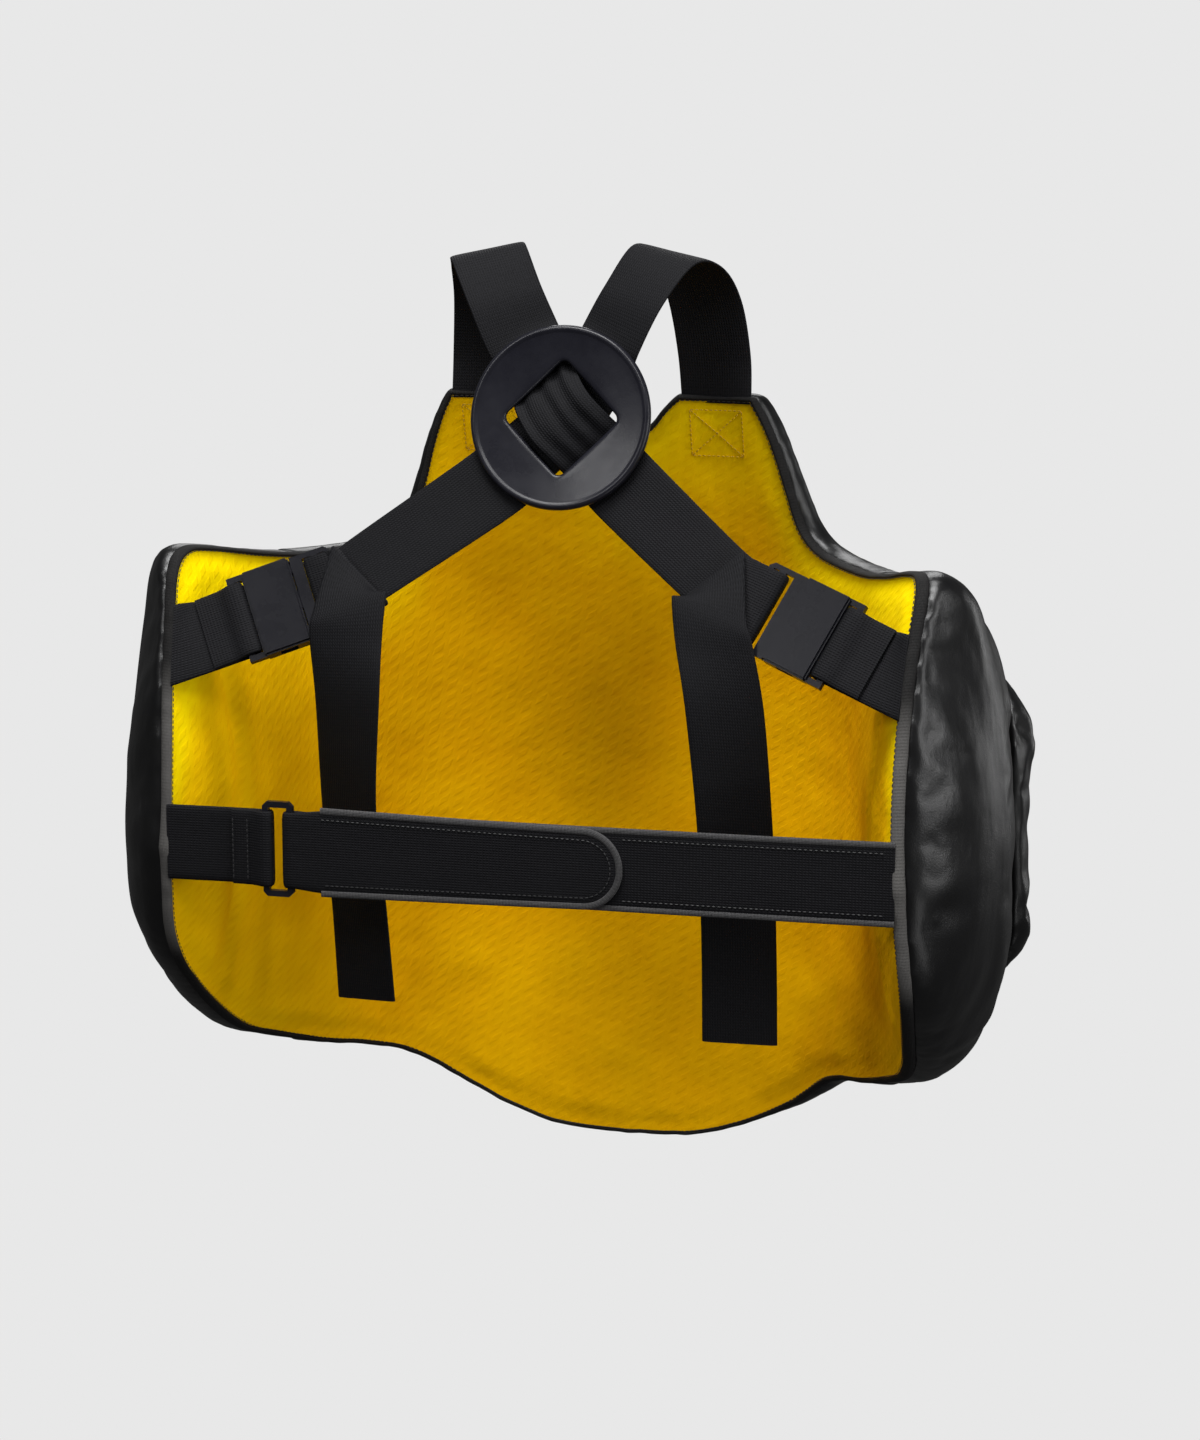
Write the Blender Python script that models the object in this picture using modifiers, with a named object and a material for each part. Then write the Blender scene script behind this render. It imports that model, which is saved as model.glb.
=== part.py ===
"""Padded body protector of a trainer, with its back harness and waist belt.

Metres, +Z up, +Y the way that the wearer faces, +X to the wearer's right.
The origin is where the shoulders carry it: between the crowns of the two shoulder straps.
A place on the body is an arc along the lining from the centre front, positive to the wearer's
right, with a height z. An offset out from it is square to the lining, away from the wearer.
"""

import math

import bmesh
import bpy
import numpy as np
from mathutils import Matrix, Vector

# Body, measured on the lining
HALF_GIRTH = 0.405  # centre front to the rearmost point of a wing
BODY_HEIGHT = 0.534  # top of the shoulder tabs to the foot of the belly lobe
TAB_DROP = 0.102  # crowns of the shoulder straps to the top of the tabs
CHEST_FORWARD = 0.105  # crowns of the shoulder straps to the centre front of the lining
TURN_START = 0.05  # arc where the chest starts to turn into the wing
TURN_END = 0.255  # arc where the wing has turned
WING_TURN = math.radians(76)  # how far the wing has turned from the chest
FOLD_ARC = 0.335  # arc of the fold line down each wing
FOLD_TURN = math.radians(8)  # how far the wing opens again behind its fold line
FOLD_REACH = 0.02  # half the arc over which it does
CHEST_LEAN = 0.050  # how far the tabs lean back over the wearer's chest
LOBE_TUCK = 0.012  # how far the foot of the lobe curls back
WING_FLARE = 0.028  # how far a wing's corners stand out from its belted middle
FLARE_START = 0.17  # arc where that starts
FLARE_END = 0.35  # arc where it is whole
FLARE_REACH = 0.15  # height over which it grows
FLARE_RISE = 0.02  # height of the wing's narrowest place over the belt
LOBE_SKEW = 0.009  # how far the lobe sits to the wearer's right of the centre

# Layers, from the wearer outwards
LAYER_GAP = 0.0008  # clearance between stacked layers
PIECE_GAP = 0.0004  # clearance between pieces that meet end to end
SEAM_GAP = 0.0012  # clearance between a strap's end and the binding that it's sewn under
LINING_T = 0.0036
BINDING_W = 0.0055  # width of the edge binding on the lining's side
BINDING_PROUD = 0.0016  # how far the binding stands proud of the lining
EDGE_T = 0.020  # wall of the pads at their outer edge
TAB_PAD_T = 0.030
FRONT_PAD_T = 0.058
CHEST_START = 0.040  # top of the tabs to where the front pad starts to thicken
CHEST_BLEND = 0.100  # height over which it does
FRONT_ROUND = 0.055  # how far in from the edge the front pad is rounded
SIDE_PAD_T = 0.094
SIDE_ROUND = 0.115
SWELL_POWER = 0.72  # how gently a pad swells in from its edge: 0.5 is a quarter of an ellipse
ARMPIT_ARC = 0.158  # arc where the armhole's edge levels out
CREASE_ARC = 0.232  # arc of the crease between the front and a side pad
CREASE_T = 0.034  # thickness left at the crease
CREASE_ROUND = 0.045  # how far from the crease the pads are rounded
BELLY_PAD_T = 0.032
BELLY_GAP = 0.0009  # clearance of the belly pad over the pads that it lies on
BELLY_HALF_ARC = 0.252
BELLY_TOP = 0.142  # top of the tabs to the top of the belly pad
BELLY_HEIGHT = 0.290
BELLY_EDGE_T = 0.008
BELLY_ROUND = 0.085
BELLY_CORNER = 0.12
BLEND_START = 0.170  # arc where the belly pad starts to rise from the front pad to the side pads
BLEND_END = 0.240

# Webbing and harness
WEBBING_W = 0.050
WEBBING_T = 0.0022
TAB_MID_ARC = 0.080  # middle of each shoulder tab, where its strap is sewn in
RING_SIDE = 0.003  # the ring hangs this far to the wearer's right
RING_BACK = 0.058
RING_DROP = 0.107
RING_TILT = math.radians(13)
RING_RADIUS = 0.0602
RING_T = 0.0036
RING_DISH = 0.004  # how far the rim stands out from the inner edge
RING_HOLE = 0.039  # centre to corner of the ring's square opening
RING_HOLE_CORNER = 0.005
BUCKLE_SHARE = 0.72  # place of the buckle's centre from the ring to the wing
HARNESS_SAG = 0.015
HARNESS_PITCH = math.radians(24)  # how far the buckles face up from straight back
WING_ANCHOR_DROP = 0.1515  # top of the tabs to the harness strap's seam on the wing
TAIL_FOLD = {1: 0.064, -1: 0.050}  # buckle's centre to the middle of the tail's fold
TAIL_FOLD_ANGLE = math.radians(24)
TAIL_FOLD_RADIUS = 0.0016
TAIL_DROP = {1: 0.306, -1: 0.288}  # the right tail is the longer one
TAIL_ASIDE = {1: 0.004, -1: -0.0125}  # how far each tail swings outwards below its fold
TAIL_SWING = 0.3  # share of the drop over which it does

# Buckle parts, along the webbing from the buckle's centre
BUCKLE_HALF_W = 0.0295
PRONG_T = 0.0044
LADDER_END = -0.0360
OUTER_SLOT = (-0.0325, -0.0280)
INNER_SLOT = (-0.0235, -0.0170)
LADDER_BASE = -0.0090
ARM_END = 0.0140
SOCKET = (-0.0085, 0.0240)
SOCKET_T = 0.0110
SOCKET_WALL = 0.0022
LOOP_SLOT = (0.0245, 0.0300)
LOOP_END = 0.0345
LOOP_T = 0.0048

# Waist belt
BELT_DROP = 0.279  # top of the tabs to the belt's middle
BELT_W = 0.050
FLAP_W = 0.0545  # the flap's width at the loop
FLAP_TIP_W = 0.0485
FLAP_TIP = 0.066  # where the flap's tip lies, to the wearer's right
BELT_BOW = 0.004
LOOP_X = -0.1625  # centre of the belt loop
LOOP_GAP = 0.0125  # opening of the belt loop
LOOP_BAR = 0.004
LOOP_HEIGHT = 0.063
STITCHED_END = 0.024  # length of a strap end sewn back on itself

TAB_TOP_Z = -TAB_DROP
BELT_Z = TAB_TOP_Z - BELT_DROP
LOBE_Z = TAB_TOP_Z - BODY_HEIGHT
PAD_INNER = LINING_T + LAYER_GAP
REAR = HALF_GIRTH - 0.0002  # arc of the rearmost column
ROWS = 9  # intervals up each column of a body layer

# Lower edge from the centre front round to the rearmost point of the wing:
# share of the half girth, share of the body's height below the tabs.
LOWER_EDGE = (
    (0.000, 1.000), (0.120, 0.995), (0.210, 0.975), (0.286, 0.946), (0.351, 0.916), (0.407, 0.891),
    (0.469, 0.875), (0.543, 0.861), (0.642, 0.834), (0.706, 0.814), (0.797, 0.768), (0.872, 0.724),
    (0.931, 0.680), (0.973, 0.625), (1.000, 0.530),
)
# Upper edge from the rearmost point over the armhole to the tab's outer corner.
ARMHOLE_EDGE = (
    (1.000, 0.530), (0.984, 0.427), (0.951, 0.339), (0.901, 0.264), (0.845, 0.201), (0.797, 0.176),
    (0.741, 0.178), (0.652, 0.192), (0.543, 0.203), (0.437, 0.201), (0.380, 0.189), (0.346, 0.163),
    (0.323, 0.116), (0.304, 0.071), (0.284, 0.032), (0.262, 0.000),
)
# Neckline from the tab's inner corner to the centre front.
NECK_EDGE = ((0.134, 0.000), (0.112, 0.014), (0.075, 0.045), (0.037, 0.063), (0.000, 0.068))

# Shoulder strap from the tab over the crown: share of the tab's place to the side, forward and
# down, then the direction across the webbing.
STRAP_FRONT = (
    (0.985, 0.95, 0.72, (1.00, 0.00, 0.00)),
    (0.935, 0.76, 0.37, (0.99, -0.02, 0.04)),
    (0.860, 0.34, 0.11, (0.97, -0.16, -0.10)),
    (0.745, -0.20, 0.034, (0.923, -0.317, -0.216)),
)
# The same from the crown to the ring: shares of the tab's place to the side and of the ring's
# place back and down.
STRAP_BACK = (
    (0.550, 0.510, 0.264, (0.893, -0.408, -0.188)),
    (0.379, 0.600, 0.520, (0.840, -0.420, -0.330)),
)
# Through the ring, as shares of its radius to the strap's own side and up, then how far in front
# of the ring's middle the upper and the lower strap lie, the share of the width that is left, and
# the direction across.
STRAP_THROUGH_RING = (
    (0.35, 0.62, -0.0060, -0.0104, 0.90, (0.86, -0.51)),
    (0.26, 0.43, -0.0046, -0.0094, 0.90, (0.84, -0.54)),
    (0.15, 0.21, 0.0022, -0.0072, 0.90, (0.80, -0.60)),
    (0.00, 0.00, 0.0052, -0.0060, 0.90, (0.74, -0.67)),
    (-0.17, -0.17, 0.0022, -0.0058, 0.90, (0.71, -0.70)),
    (-0.35, -0.34, -0.0046, -0.0058, 0.92, (0.70, -0.71)),
    (-0.50, -0.48, -0.0026, -0.0034, 0.96, (0.69, -0.72)),
    (-0.78, -0.76, -0.0010, -0.0010, 1.00, (0.69, -0.72)),
)
# Hanging tail below its fold: share of its drop, then how far out, forward and the direction
# across from its outer to its inner edge.
TAIL_HANG = (
    (0.050, 0.002, -0.0145, (-0.960, 0.060, 0.22)),
    (0.120, 0.006, -0.0225, (-0.990, -0.020, 0.05)),
    (0.265, 0.012, -0.0265, (-0.960, -0.270, 0.07)),
    (0.530, 0.0165, -0.0140, (-0.890, -0.440, 0.11)),
    (0.770, 0.0160, 0.002, (-0.900, -0.420, 0.10)),
    (1.000, 0.0150, 0.012, (-0.920, -0.375, 0.10)),
)

MATERIALS = {
    "leather": ((0.020, 0.020, 0.022), 0.32, 0.0),
    "lining": ((0.830, 0.560, 0.010), 0.85, 0.0),
    "binding": ((0.060, 0.058, 0.056), 0.60, 0.0),
    "webbing": ((0.016, 0.016, 0.020), 0.75, 0.0),
    "plastic": ((0.022, 0.022, 0.028), 0.38, 0.0),
}


def smoothstep(t):
    t = np.clip(t, 0.0, 1.0)
    return t * t * (3 - 2 * t)


def unit(vector):
    return Vector(vector).normalized()


# Plan of the lining


def plan_curve():
    """Arc stations along the lining with the direction, x and y at each, for the right half."""
    arc = np.linspace(0, HALF_GIRTH * 1.05, 1201)
    turned = WING_TURN * smoothstep((arc - TURN_START) / (TURN_END - TURN_START))
    turned -= FOLD_TURN * smoothstep((arc - FOLD_ARC + FOLD_REACH) / (2 * FOLD_REACH))
    step = arc[1] - arc[0]
    x = np.concatenate([[0], np.cumsum(np.cos((turned[1:] + turned[:-1]) / 2) * step)])
    y = CHEST_FORWARD - np.concatenate([[0], np.cumsum(np.sin((turned[1:] + turned[:-1]) / 2) * step)])
    return arc, turned, x, y


PLAN_ARC, PLAN_TURN, PLAN_X, PLAN_Y = plan_curve()


def lean(z):
    up = np.clip((z - BELT_Z) / (TAB_TOP_Z - BELT_Z), 0, 1.2)
    down = np.clip((BELT_Z - z) / (BELT_Z - LOBE_Z), 0, 1.2)
    return -CHEST_LEAN * up**1.8 - LOBE_TUCK * down**2


def flare(arc, z):
    rise = np.clip(abs(z - BELT_Z - FLARE_RISE) / FLARE_REACH, 0, 1.25)
    return WING_FLARE * rise**2 * smoothstep((abs(arc) - FLARE_START) / (FLARE_END - FLARE_START))


def body_point(arc, z, out=0.0):
    """The point on the lining's inner face at that arc and height, moved out from the wearer."""
    side = -1.0 if arc < 0 else 1.0
    turned = np.interp(abs(arc), PLAN_ARC, PLAN_TURN)
    x = np.interp(abs(arc), PLAN_ARC, PLAN_X) + flare(arc, z) + out * math.sin(turned)
    y = np.interp(abs(arc), PLAN_ARC, PLAN_Y) + lean(z) + out * math.cos(turned)
    return Vector((side * x, y, z))


# Outline of the body on the lining


def smooth_line(points, steps):
    """Points along a Catmull-Rom curve through the given ones."""
    points = np.array(points, float)
    ends = np.vstack([2 * points[0] - points[1], points, 2 * points[-1] - points[-2]])
    found = []
    for before, start, end, after in zip(ends, ends[1:], ends[2:], ends[3:]):
        for t in np.arange(steps) / steps:
            bend = (2 * before - 5 * start + 4 * end - after) * t**2
            twist = (3 * start - before - 3 * end + after) * t**3
            found.append(start + ((end - before) * t + bend + twist) / 2)
    return np.array(found + [points[-1]])


def sized(edge):
    return [(arc * HALF_GIRTH, TAB_TOP_Z - drop * BODY_HEIGHT) for arc, drop in edge]


LOWER = smooth_line(sized(LOWER_EDGE), 10)
UPPER = np.vstack([smooth_line(sized(ARMHOLE_EDGE), 10), smooth_line(sized(NECK_EDGE), 10)])[::-1]


def lower_z(arc):
    shift = LOBE_SKEW * (1 - smoothstep((abs(arc) - 0.13) / 0.06))
    return float(np.interp(abs(arc - shift), LOWER[:, 0], LOWER[:, 1]))


def upper_z(arc):
    return float(np.interp(abs(arc), UPPER[:, 0], UPPER[:, 1]))


def columns(start, end):
    """Arc stations from start to end, the same for every layer, closer where the body turns."""
    tab_in, tab_out = NECK_EDGE[0][0] * HALF_GIRTH, ARMHOLE_EDGE[-1][0] * HALF_GIRTH
    wing = REAR - TURN_END
    half = np.concatenate([
        np.linspace(0, tab_in, 5)[:-1],
        np.linspace(tab_in, tab_out, 3)[:-1],
        np.linspace(tab_out, ARMPIT_ARC, 9)[:-1],
        np.linspace(ARMPIT_ARC, CREASE_ARC, 5)[:-1],
        np.linspace(CREASE_ARC, TURN_END, 3)[:-1],
        REAR - wing * (1 - np.sin(np.linspace(0, math.pi / 2, 12))),
    ])
    every = np.concatenate([-half[:0:-1], half])
    inside = [a for a in every if start + 0.001 < a < end - 0.001]
    return [start, *inside, end]


def outline():
    """The body's outline through the ends of all its columns, anticlockwise from the left wing."""
    arcs = columns(-REAR, REAR)
    low = [(a, lower_z(a)) for a in arcs]
    high = [(a, upper_z(a)) for a in arcs[::-1]]
    return np.array(low + high)


SEGMENT_START = outline()
SEGMENT_END = np.roll(SEGMENT_START, -1, 0)


def edge_distance(arc, z):
    """How far in from the body's outline a place lies."""
    run = SEGMENT_END - SEGMENT_START
    square = np.maximum((run**2).sum(1), 1e-12)
    place = np.array([arc, z])
    share = np.clip(((place - SEGMENT_START) * run).sum(1) / square, 0, 1)
    return float(np.linalg.norm(SEGMENT_START + run * share[:, None] - place, axis=1).min())


def column_span(arc, inset):
    """Lowest and highest z of a column whose ends stay that far in from the outline."""
    low, high = lower_z(arc), upper_z(arc)
    if inset <= 0:
        return low, high
    middle = (low + high) / 2

    def walk(end):
        near, far = middle, end
        for _ in range(16):
            half = (near + far) / 2
            if edge_distance(arc, half) >= inset:
                near = half
            else:
                far = half
        return near

    return walk(low), walk(high)


# Building solids


def material(name):
    found = bpy.data.materials.get(name)
    if found:
        return found
    colour, roughness, metallic = MATERIALS[name]
    found = bpy.data.materials.new(name)
    found.use_nodes = True
    surface = found.node_tree.nodes["Principled BSDF"]
    surface.inputs["Base Color"].default_value = (*colour, 1)
    surface.inputs["Roughness"].default_value = roughness
    surface.inputs["Metallic"].default_value = metallic
    return found


def add_object(name, mesh, finish):
    made = bpy.data.objects.new(name, mesh)
    mesh.materials.append(material(finish))
    PARTS.objects.link(made)
    return made


def closed_mesh(name, points, faces):
    mesh = bpy.data.meshes.new(name)
    bm = bmesh.new()
    corners = [bm.verts.new(p) for p in points]
    for face in faces:
        bm.faces.new([corners[i] for i in face])
    bmesh.ops.recalc_face_normals(bm, faces=bm.faces)
    bm.to_mesh(mesh)
    bm.free()
    mesh.shade_smooth()
    mesh.set_sharp_from_angle(angle=math.radians(50))
    return mesh


def skinned(rings, closed):
    """Faces over rings of as many points each; closed joins the last ring to the first."""
    size = len(rings[0])
    points = [p for ring in rings for p in ring]
    faces = []
    for i in range(len(rings) if closed else len(rings) - 1):
        a, b = i * size, (i + 1) % len(rings) * size
        faces += [(a + k, a + (k + 1) % size, b + (k + 1) % size, b + k) for k in range(size)]
    if not closed:
        faces += [tuple(range(size)), tuple(range(len(points) - size, len(points)))]
    return points, faces


def layer(name, arcs, inset, inner, outer, finish, span=column_span):
    """A closed solid between two offsets of the lining, over columns of rows.
    inner and outer are functions of arc and z."""
    shares = (1 - np.cos(np.linspace(0, math.pi, ROWS + 1))) / 2
    faces_in, faces_out = [], []
    for arc in arcs:
        low, high = span(arc, inset)
        heights = low + (high - low) * shares
        faces_in.append([body_point(arc, z, inner(arc, z)) for z in heights])
        faces_out.append([body_point(arc, z, outer(arc, z)) for z in heights])
    points = [p for grid in (faces_in, faces_out) for column in grid for p in column]
    rows, across = ROWS + 1, len(arcs)
    far = rows * across
    faces = []
    for i in range(across - 1):
        for j in range(ROWS):
            a = i * rows + j
            faces.append((a, a + 1, a + rows + 1, a + rows))
            faces.append((far + a, far + a + rows, far + a + rows + 1, far + a + 1))
        for a in (i * rows, i * rows + ROWS):
            faces.append((a, a + rows, far + a + rows, far + a))
    for first in (0, (across - 1) * rows):
        for a in range(first, first + ROWS):
            faces.append((a, a + 1, far + a + 1, far + a))
    return add_object(name, closed_mesh(name, points, faces), finish)


def rounded(distance, reach):
    """Share of a pad's swell at a distance in from its edge."""
    return (1 - (1 - min(max(distance / reach, 0.0), 1.0)) ** 2) ** SWELL_POWER


def pad_inner(_arc, _z):
    return PAD_INNER


def edge_swell(arc, z, full, reach):
    """Thickness of a pad that is rounded down to the body's outline."""
    return EDGE_T + (full - EDGE_T) * rounded(edge_distance(arc, z), reach)


def creased(arc, full):
    """Thickness that the crease between the front and a side pad leaves."""
    return CREASE_T + (full - CREASE_T) * rounded(abs(abs(arc) - CREASE_ARC), CREASE_ROUND)


def front_outer(arc, z):
    chest = float(smoothstep((TAB_TOP_Z - CHEST_START - z) / CHEST_BLEND))
    full = TAB_PAD_T + (FRONT_PAD_T - TAB_PAD_T) * chest
    return PAD_INNER + min(edge_swell(arc, z, full, FRONT_ROUND), creased(arc, full))


def side_outer(arc, z):
    return PAD_INNER + min(edge_swell(arc, z, SIDE_PAD_T, SIDE_ROUND), creased(arc, SIDE_PAD_T))


def belly_span(arc, _inset):
    """Lowest and highest z of the belly pad's column: a rectangle with elliptic corners."""
    past = max(abs(arc) - (BELLY_HALF_ARC - BELLY_CORNER), 0) / BELLY_CORNER
    cut = BELLY_CORNER * (1 - math.sqrt(max(1 - past**2, 0)))
    top = TAB_TOP_Z - BELLY_TOP
    return top - BELLY_HEIGHT + cut, top - cut


def belly_inner(arc, z):
    """Face of the belly pad that lies on the front pad and over the creases on the side pads."""
    share = float(smoothstep((abs(arc) - BLEND_START) / (BLEND_END - BLEND_START)))
    full = FRONT_PAD_T + (SIDE_PAD_T - FRONT_PAD_T) * share
    reach = FRONT_ROUND + (SIDE_ROUND - FRONT_ROUND) * share
    return PAD_INNER + BELLY_GAP + edge_swell(arc, z, full, reach)


def belly_outer(arc, z):
    low, high = belly_span(arc, 0)
    inward = min(z - low, high - z, BELLY_HALF_ARC - abs(arc))
    return belly_inner(arc, z) + BELLY_EDGE_T + (BELLY_PAD_T - BELLY_EDGE_T) * rounded(inward, BELLY_ROUND)


def build_body():
    inset = BINDING_W + 3 * PIECE_GAP
    end = REAR - inset - 0.001
    half = PIECE_GAP / 2
    belly = BELLY_HALF_ARC - 0.001
    layers = (
        ("lining", -end, end, inset, lambda arc, z: 0.0, lambda arc, z: LINING_T),
        ("front_pad", half - CREASE_ARC, CREASE_ARC - half, 0.0, pad_inner, front_outer),
        ("side_pad_right", CREASE_ARC + half, REAR, 0.0, pad_inner, side_outer),
        ("side_pad_left", -REAR, -CREASE_ARC - half, 0.0, pad_inner, side_outer),
    )
    for name, start, end, inset, inner, outer in layers:
        finish = "lining" if name == "lining" else "leather"
        layer(name, columns(start, end), inset, inner, outer, finish)
    layer("belly_pad", columns(-belly, belly), 0.0, belly_inner, belly_outer, "leather", belly_span)
    build_binding()


def build_binding():
    """The tape round the whole edge, lapped over the lining's border."""
    loop = outline()
    ahead, behind = np.roll(loop, -1, 0), np.roll(loop, 1, 0)
    first, second = loop - behind, ahead - loop
    first /= np.linalg.norm(first, axis=1)[:, None]
    second /= np.linalg.norm(second, axis=1)[:, None]
    run = first + second
    run /= np.linalg.norm(run, axis=1)[:, None]
    inward = np.stack([-run[:, 1], run[:, 0]], axis=1)
    stretch = 1 / np.maximum((inward * np.stack([-second[:, 1], second[:, 0]], axis=1)).sum(1), 0.6)
    bevel = 0.0012
    section = (
        (0.0, LINING_T), (0.0, bevel - BINDING_PROUD), (bevel, -BINDING_PROUD),
        (BINDING_W - bevel, -BINDING_PROUD), (BINDING_W, bevel - BINDING_PROUD), (BINDING_W, LINING_T),
    )
    rings = []
    for place, direction, more in zip(loop, inward, stretch):
        ring = []
        for inset, out in section:
            arc, z = place + direction * inset * more
            ring.append(body_point(arc, z, out))
        rings.append(ring)
    points, faces = skinned(rings, closed=True)
    return add_object("edge_binding", closed_mesh("edge_binding", points, faces), "binding")


# Webbing


def sweep(name, stations, thickness, finish):
    """Flat webbing through stations of (centre, across); across is as long as the webbing is wide."""
    centres = [Vector(c) for c, _ in stations]
    rings = []
    for i, (centre, across) in enumerate(stations):
        run = centres[min(i + 1, len(centres) - 1)] - centres[max(i - 1, 0)]
        lift = run.cross(Vector(across)).normalized() * thickness / 2
        half = Vector(across) / 2
        centre = Vector(centre)
        rings.append([centre - half - lift, centre + half - lift, centre + half + lift, centre - half + lift])
    points = [p for ring in rings for p in ring]
    faces = [(0, 1, 2, 3), tuple(range(len(points) - 4, len(points)))]
    for a in range(0, len(points) - 4, 4):
        b = a + 4
        # Both broad faces are split along the same diagonal, so that twisted webbing keeps its thickness.
        faces += [(a, a + 1, b + 1), (a, b + 1, b), (a + 2, a + 3, b + 2), (a + 3, b + 3, b + 2)]
        faces += [(a + 1, a + 2, b + 2, b + 1), (a + 3, a, b, b + 3)]
    return add_object(name, closed_mesh(name, points, faces), finish)


def smooth_stations(stations, steps):
    """More stations on a smooth curve through the given ones."""
    numbers = [[*centre, *across] for centre, across in stations]
    return [(Vector(row[:3]), Vector(row[3:])) for row in smooth_line(numbers, steps)]


def tab_place(side):
    """Where a shoulder strap leaves the top of its tab, and the direction across the tab there."""
    root = body_point(side * TAB_MID_ARC, TAB_TOP_Z + PIECE_GAP, LINING_T / 2)
    edge = body_point(side * (TAB_MID_ARC + WEBBING_W / 2), TAB_TOP_Z + PIECE_GAP, LINING_T / 2)
    return root, (edge - root).normalized()


def ring_frame():
    """Centre of the ring with its directions across, up and out to the back."""
    centre = Vector((RING_SIDE, -RING_BACK, -RING_DROP))
    up = Vector((0, math.sin(RING_TILT), math.cos(RING_TILT)))
    out = Vector((0, -math.cos(RING_TILT), math.sin(RING_TILT)))
    return centre, Vector((1, 0, 0)), up, out


def wing_anchor(side):
    """Where the harness meets the wing's rear edge, and the direction down that edge."""
    z = TAB_TOP_Z - WING_ANCHOR_DROP
    rear = UPPER[UPPER[:, 1] <= TAB_TOP_Z - 0.1 * BODY_HEIGHT]
    rear = rear[rear[:, 0] > TURN_END]

    def on_edge(height):
        order = np.argsort(rear[:, 1])
        arc = float(np.interp(height, rear[order, 1], rear[order, 0])) - BINDING_W / 2
        return body_point(side * arc, height, -BINDING_PROUD - SEAM_GAP)

    return on_edge(z), (on_edge(z - 0.015) - on_edge(z + 0.015)).normalized()


def buckle_frame(side):
    """Matrix of a buckle: x towards the wing, y towards its lower edge, z out to the back."""
    centre, _, _, _ = ring_frame()
    anchor, _ = wing_anchor(side)
    middle = centre.lerp(anchor, BUCKLE_SHARE) - Vector((side * RING_SIDE, 0, HARNESS_SAG))
    along = (anchor - middle).normalized()
    facing = Vector((0, -math.cos(HARNESS_PITCH), math.sin(HARNESS_PITCH)))
    facing = (facing - along * facing.dot(along)).normalized()
    lower = facing.cross(along) * (1 if facing.cross(along).z < 0 else -1)
    return Matrix((
        (along.x, lower.x, facing.x, middle.x),
        (along.y, lower.y, facing.y, middle.y),
        (along.z, lower.z, facing.z, middle.z),
        (0, 0, 0, 1),
    ))


def in_frame(frame, stations):
    """Stations given in a buckle's frame as (x, y, z, across) put in place."""
    turn = frame.to_3x3()
    return [(frame @ Vector(s[:3]), turn @ Vector(s[3])) for s in stations]


def build_harness_strap(side):
    """Webbing from one tab over the shoulder, through the ring and on to the other side's buckle.
    The left shoulder's strap lies over the right one's where they cross."""
    root, tab_across = tab_place(side)
    stations = [(root, tab_across * WEBBING_W)]
    for aside, forward, down, across in STRAP_FRONT:
        place = Vector((aside * root.x, forward * root.y, down * root.z))
        stations.append((place, unit((side * across[0], *across[1:])) * WEBBING_W))
    for aside, back, down, across in STRAP_BACK:
        place = Vector((aside * root.x, -back * RING_BACK, -down * RING_DROP))
        stations.append((place, unit((side * across[0], *across[1:])) * WEBBING_W))
    centre, right, up, out = ring_frame()
    for aside, high, upper, lower, width, (over, rise) in STRAP_THROUGH_RING:
        depth = lower if side > 0 else upper
        place = centre + right * side * aside * RING_RADIUS + up * high * RING_RADIUS + out * depth
        across = (right * side * over + up * rise).normalized()
        stations.append((place, across * WEBBING_W * width))
    frame = buckle_frame(-side)
    below = -PRONG_T / 2 - PIECE_GAP - WEBBING_T / 2
    wrap = INNER_SLOT[0] + PIECE_GAP + WEBBING_T / 2
    lower = (0, WEBBING_W, 0)
    stations += in_frame(frame, (
        (-TAIL_FOLD[-side], -0.0045, below, lower),
        (LADDER_END - 0.006, 0, below, lower),
    ))
    stations = smooth_stations(stations, 3)
    stations += in_frame(frame, (
        (OUTER_SLOT[0], 0, below, lower),
        (wrap - 0.0014, 0, below, lower),
        (wrap, 0, below + 0.0016, lower),
        (wrap, 0, -PIECE_GAP, lower),
    ))
    name = "harness_strap_right" if side > 0 else "harness_strap_left"
    return sweep(name, stations, WEBBING_T, "webbing")


def build_tail(side):
    """Free end of the webbing, out of the buckle's ladder, folded over and hanging."""
    frame = buckle_frame(side)
    above = PRONG_T / 2 + PIECE_GAP + WEBBING_T / 2
    wrap = INNER_SLOT[0] + PIECE_GAP + WEBBING_T / 2
    lower = (0, WEBBING_W, 0)
    slant = WEBBING_W * math.tan(TAIL_FOLD_ANGLE)
    fold = (-slant, WEBBING_W, 0)
    beyond = -TAIL_FOLD_RADIUS * math.cos(TAIL_FOLD_ANGLE)
    beside = -TAIL_FOLD_RADIUS * math.sin(TAIL_FOLD_ANGLE)
    over = above + 2 * TAIL_FOLD_RADIUS
    stations = in_frame(frame, (
        (wrap, 0, 0, lower),
        (wrap, 0, above - 0.0016, lower),
        (wrap - 0.0014, 0, above, lower),
        (LADDER_END, 0, above, lower),
        (-TAIL_FOLD[side], 0, above, fold),
        (-TAIL_FOLD[side] + beyond, beside, above + TAIL_FOLD_RADIUS, fold),
        (-TAIL_FOLD[side], 0, over, fold),
    ))
    top = stations[-1]
    drop = TAIL_DROP[side]
    hang = [top]
    for share, aside, forward, across in TAIL_HANG:
        aside += TAIL_ASIDE[side] * float(smoothstep(share / TAIL_SWING))
        place = top[0] + Vector((side * aside, forward, -share * drop))
        hang.append((place, unit((side * across[0], *across[1:])) * WEBBING_W))
    stations += smooth_stations(hang, 4)[1:]
    return sweep("strap_tail_right" if side > 0 else "strap_tail_left", stations, WEBBING_T, "webbing")


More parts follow.
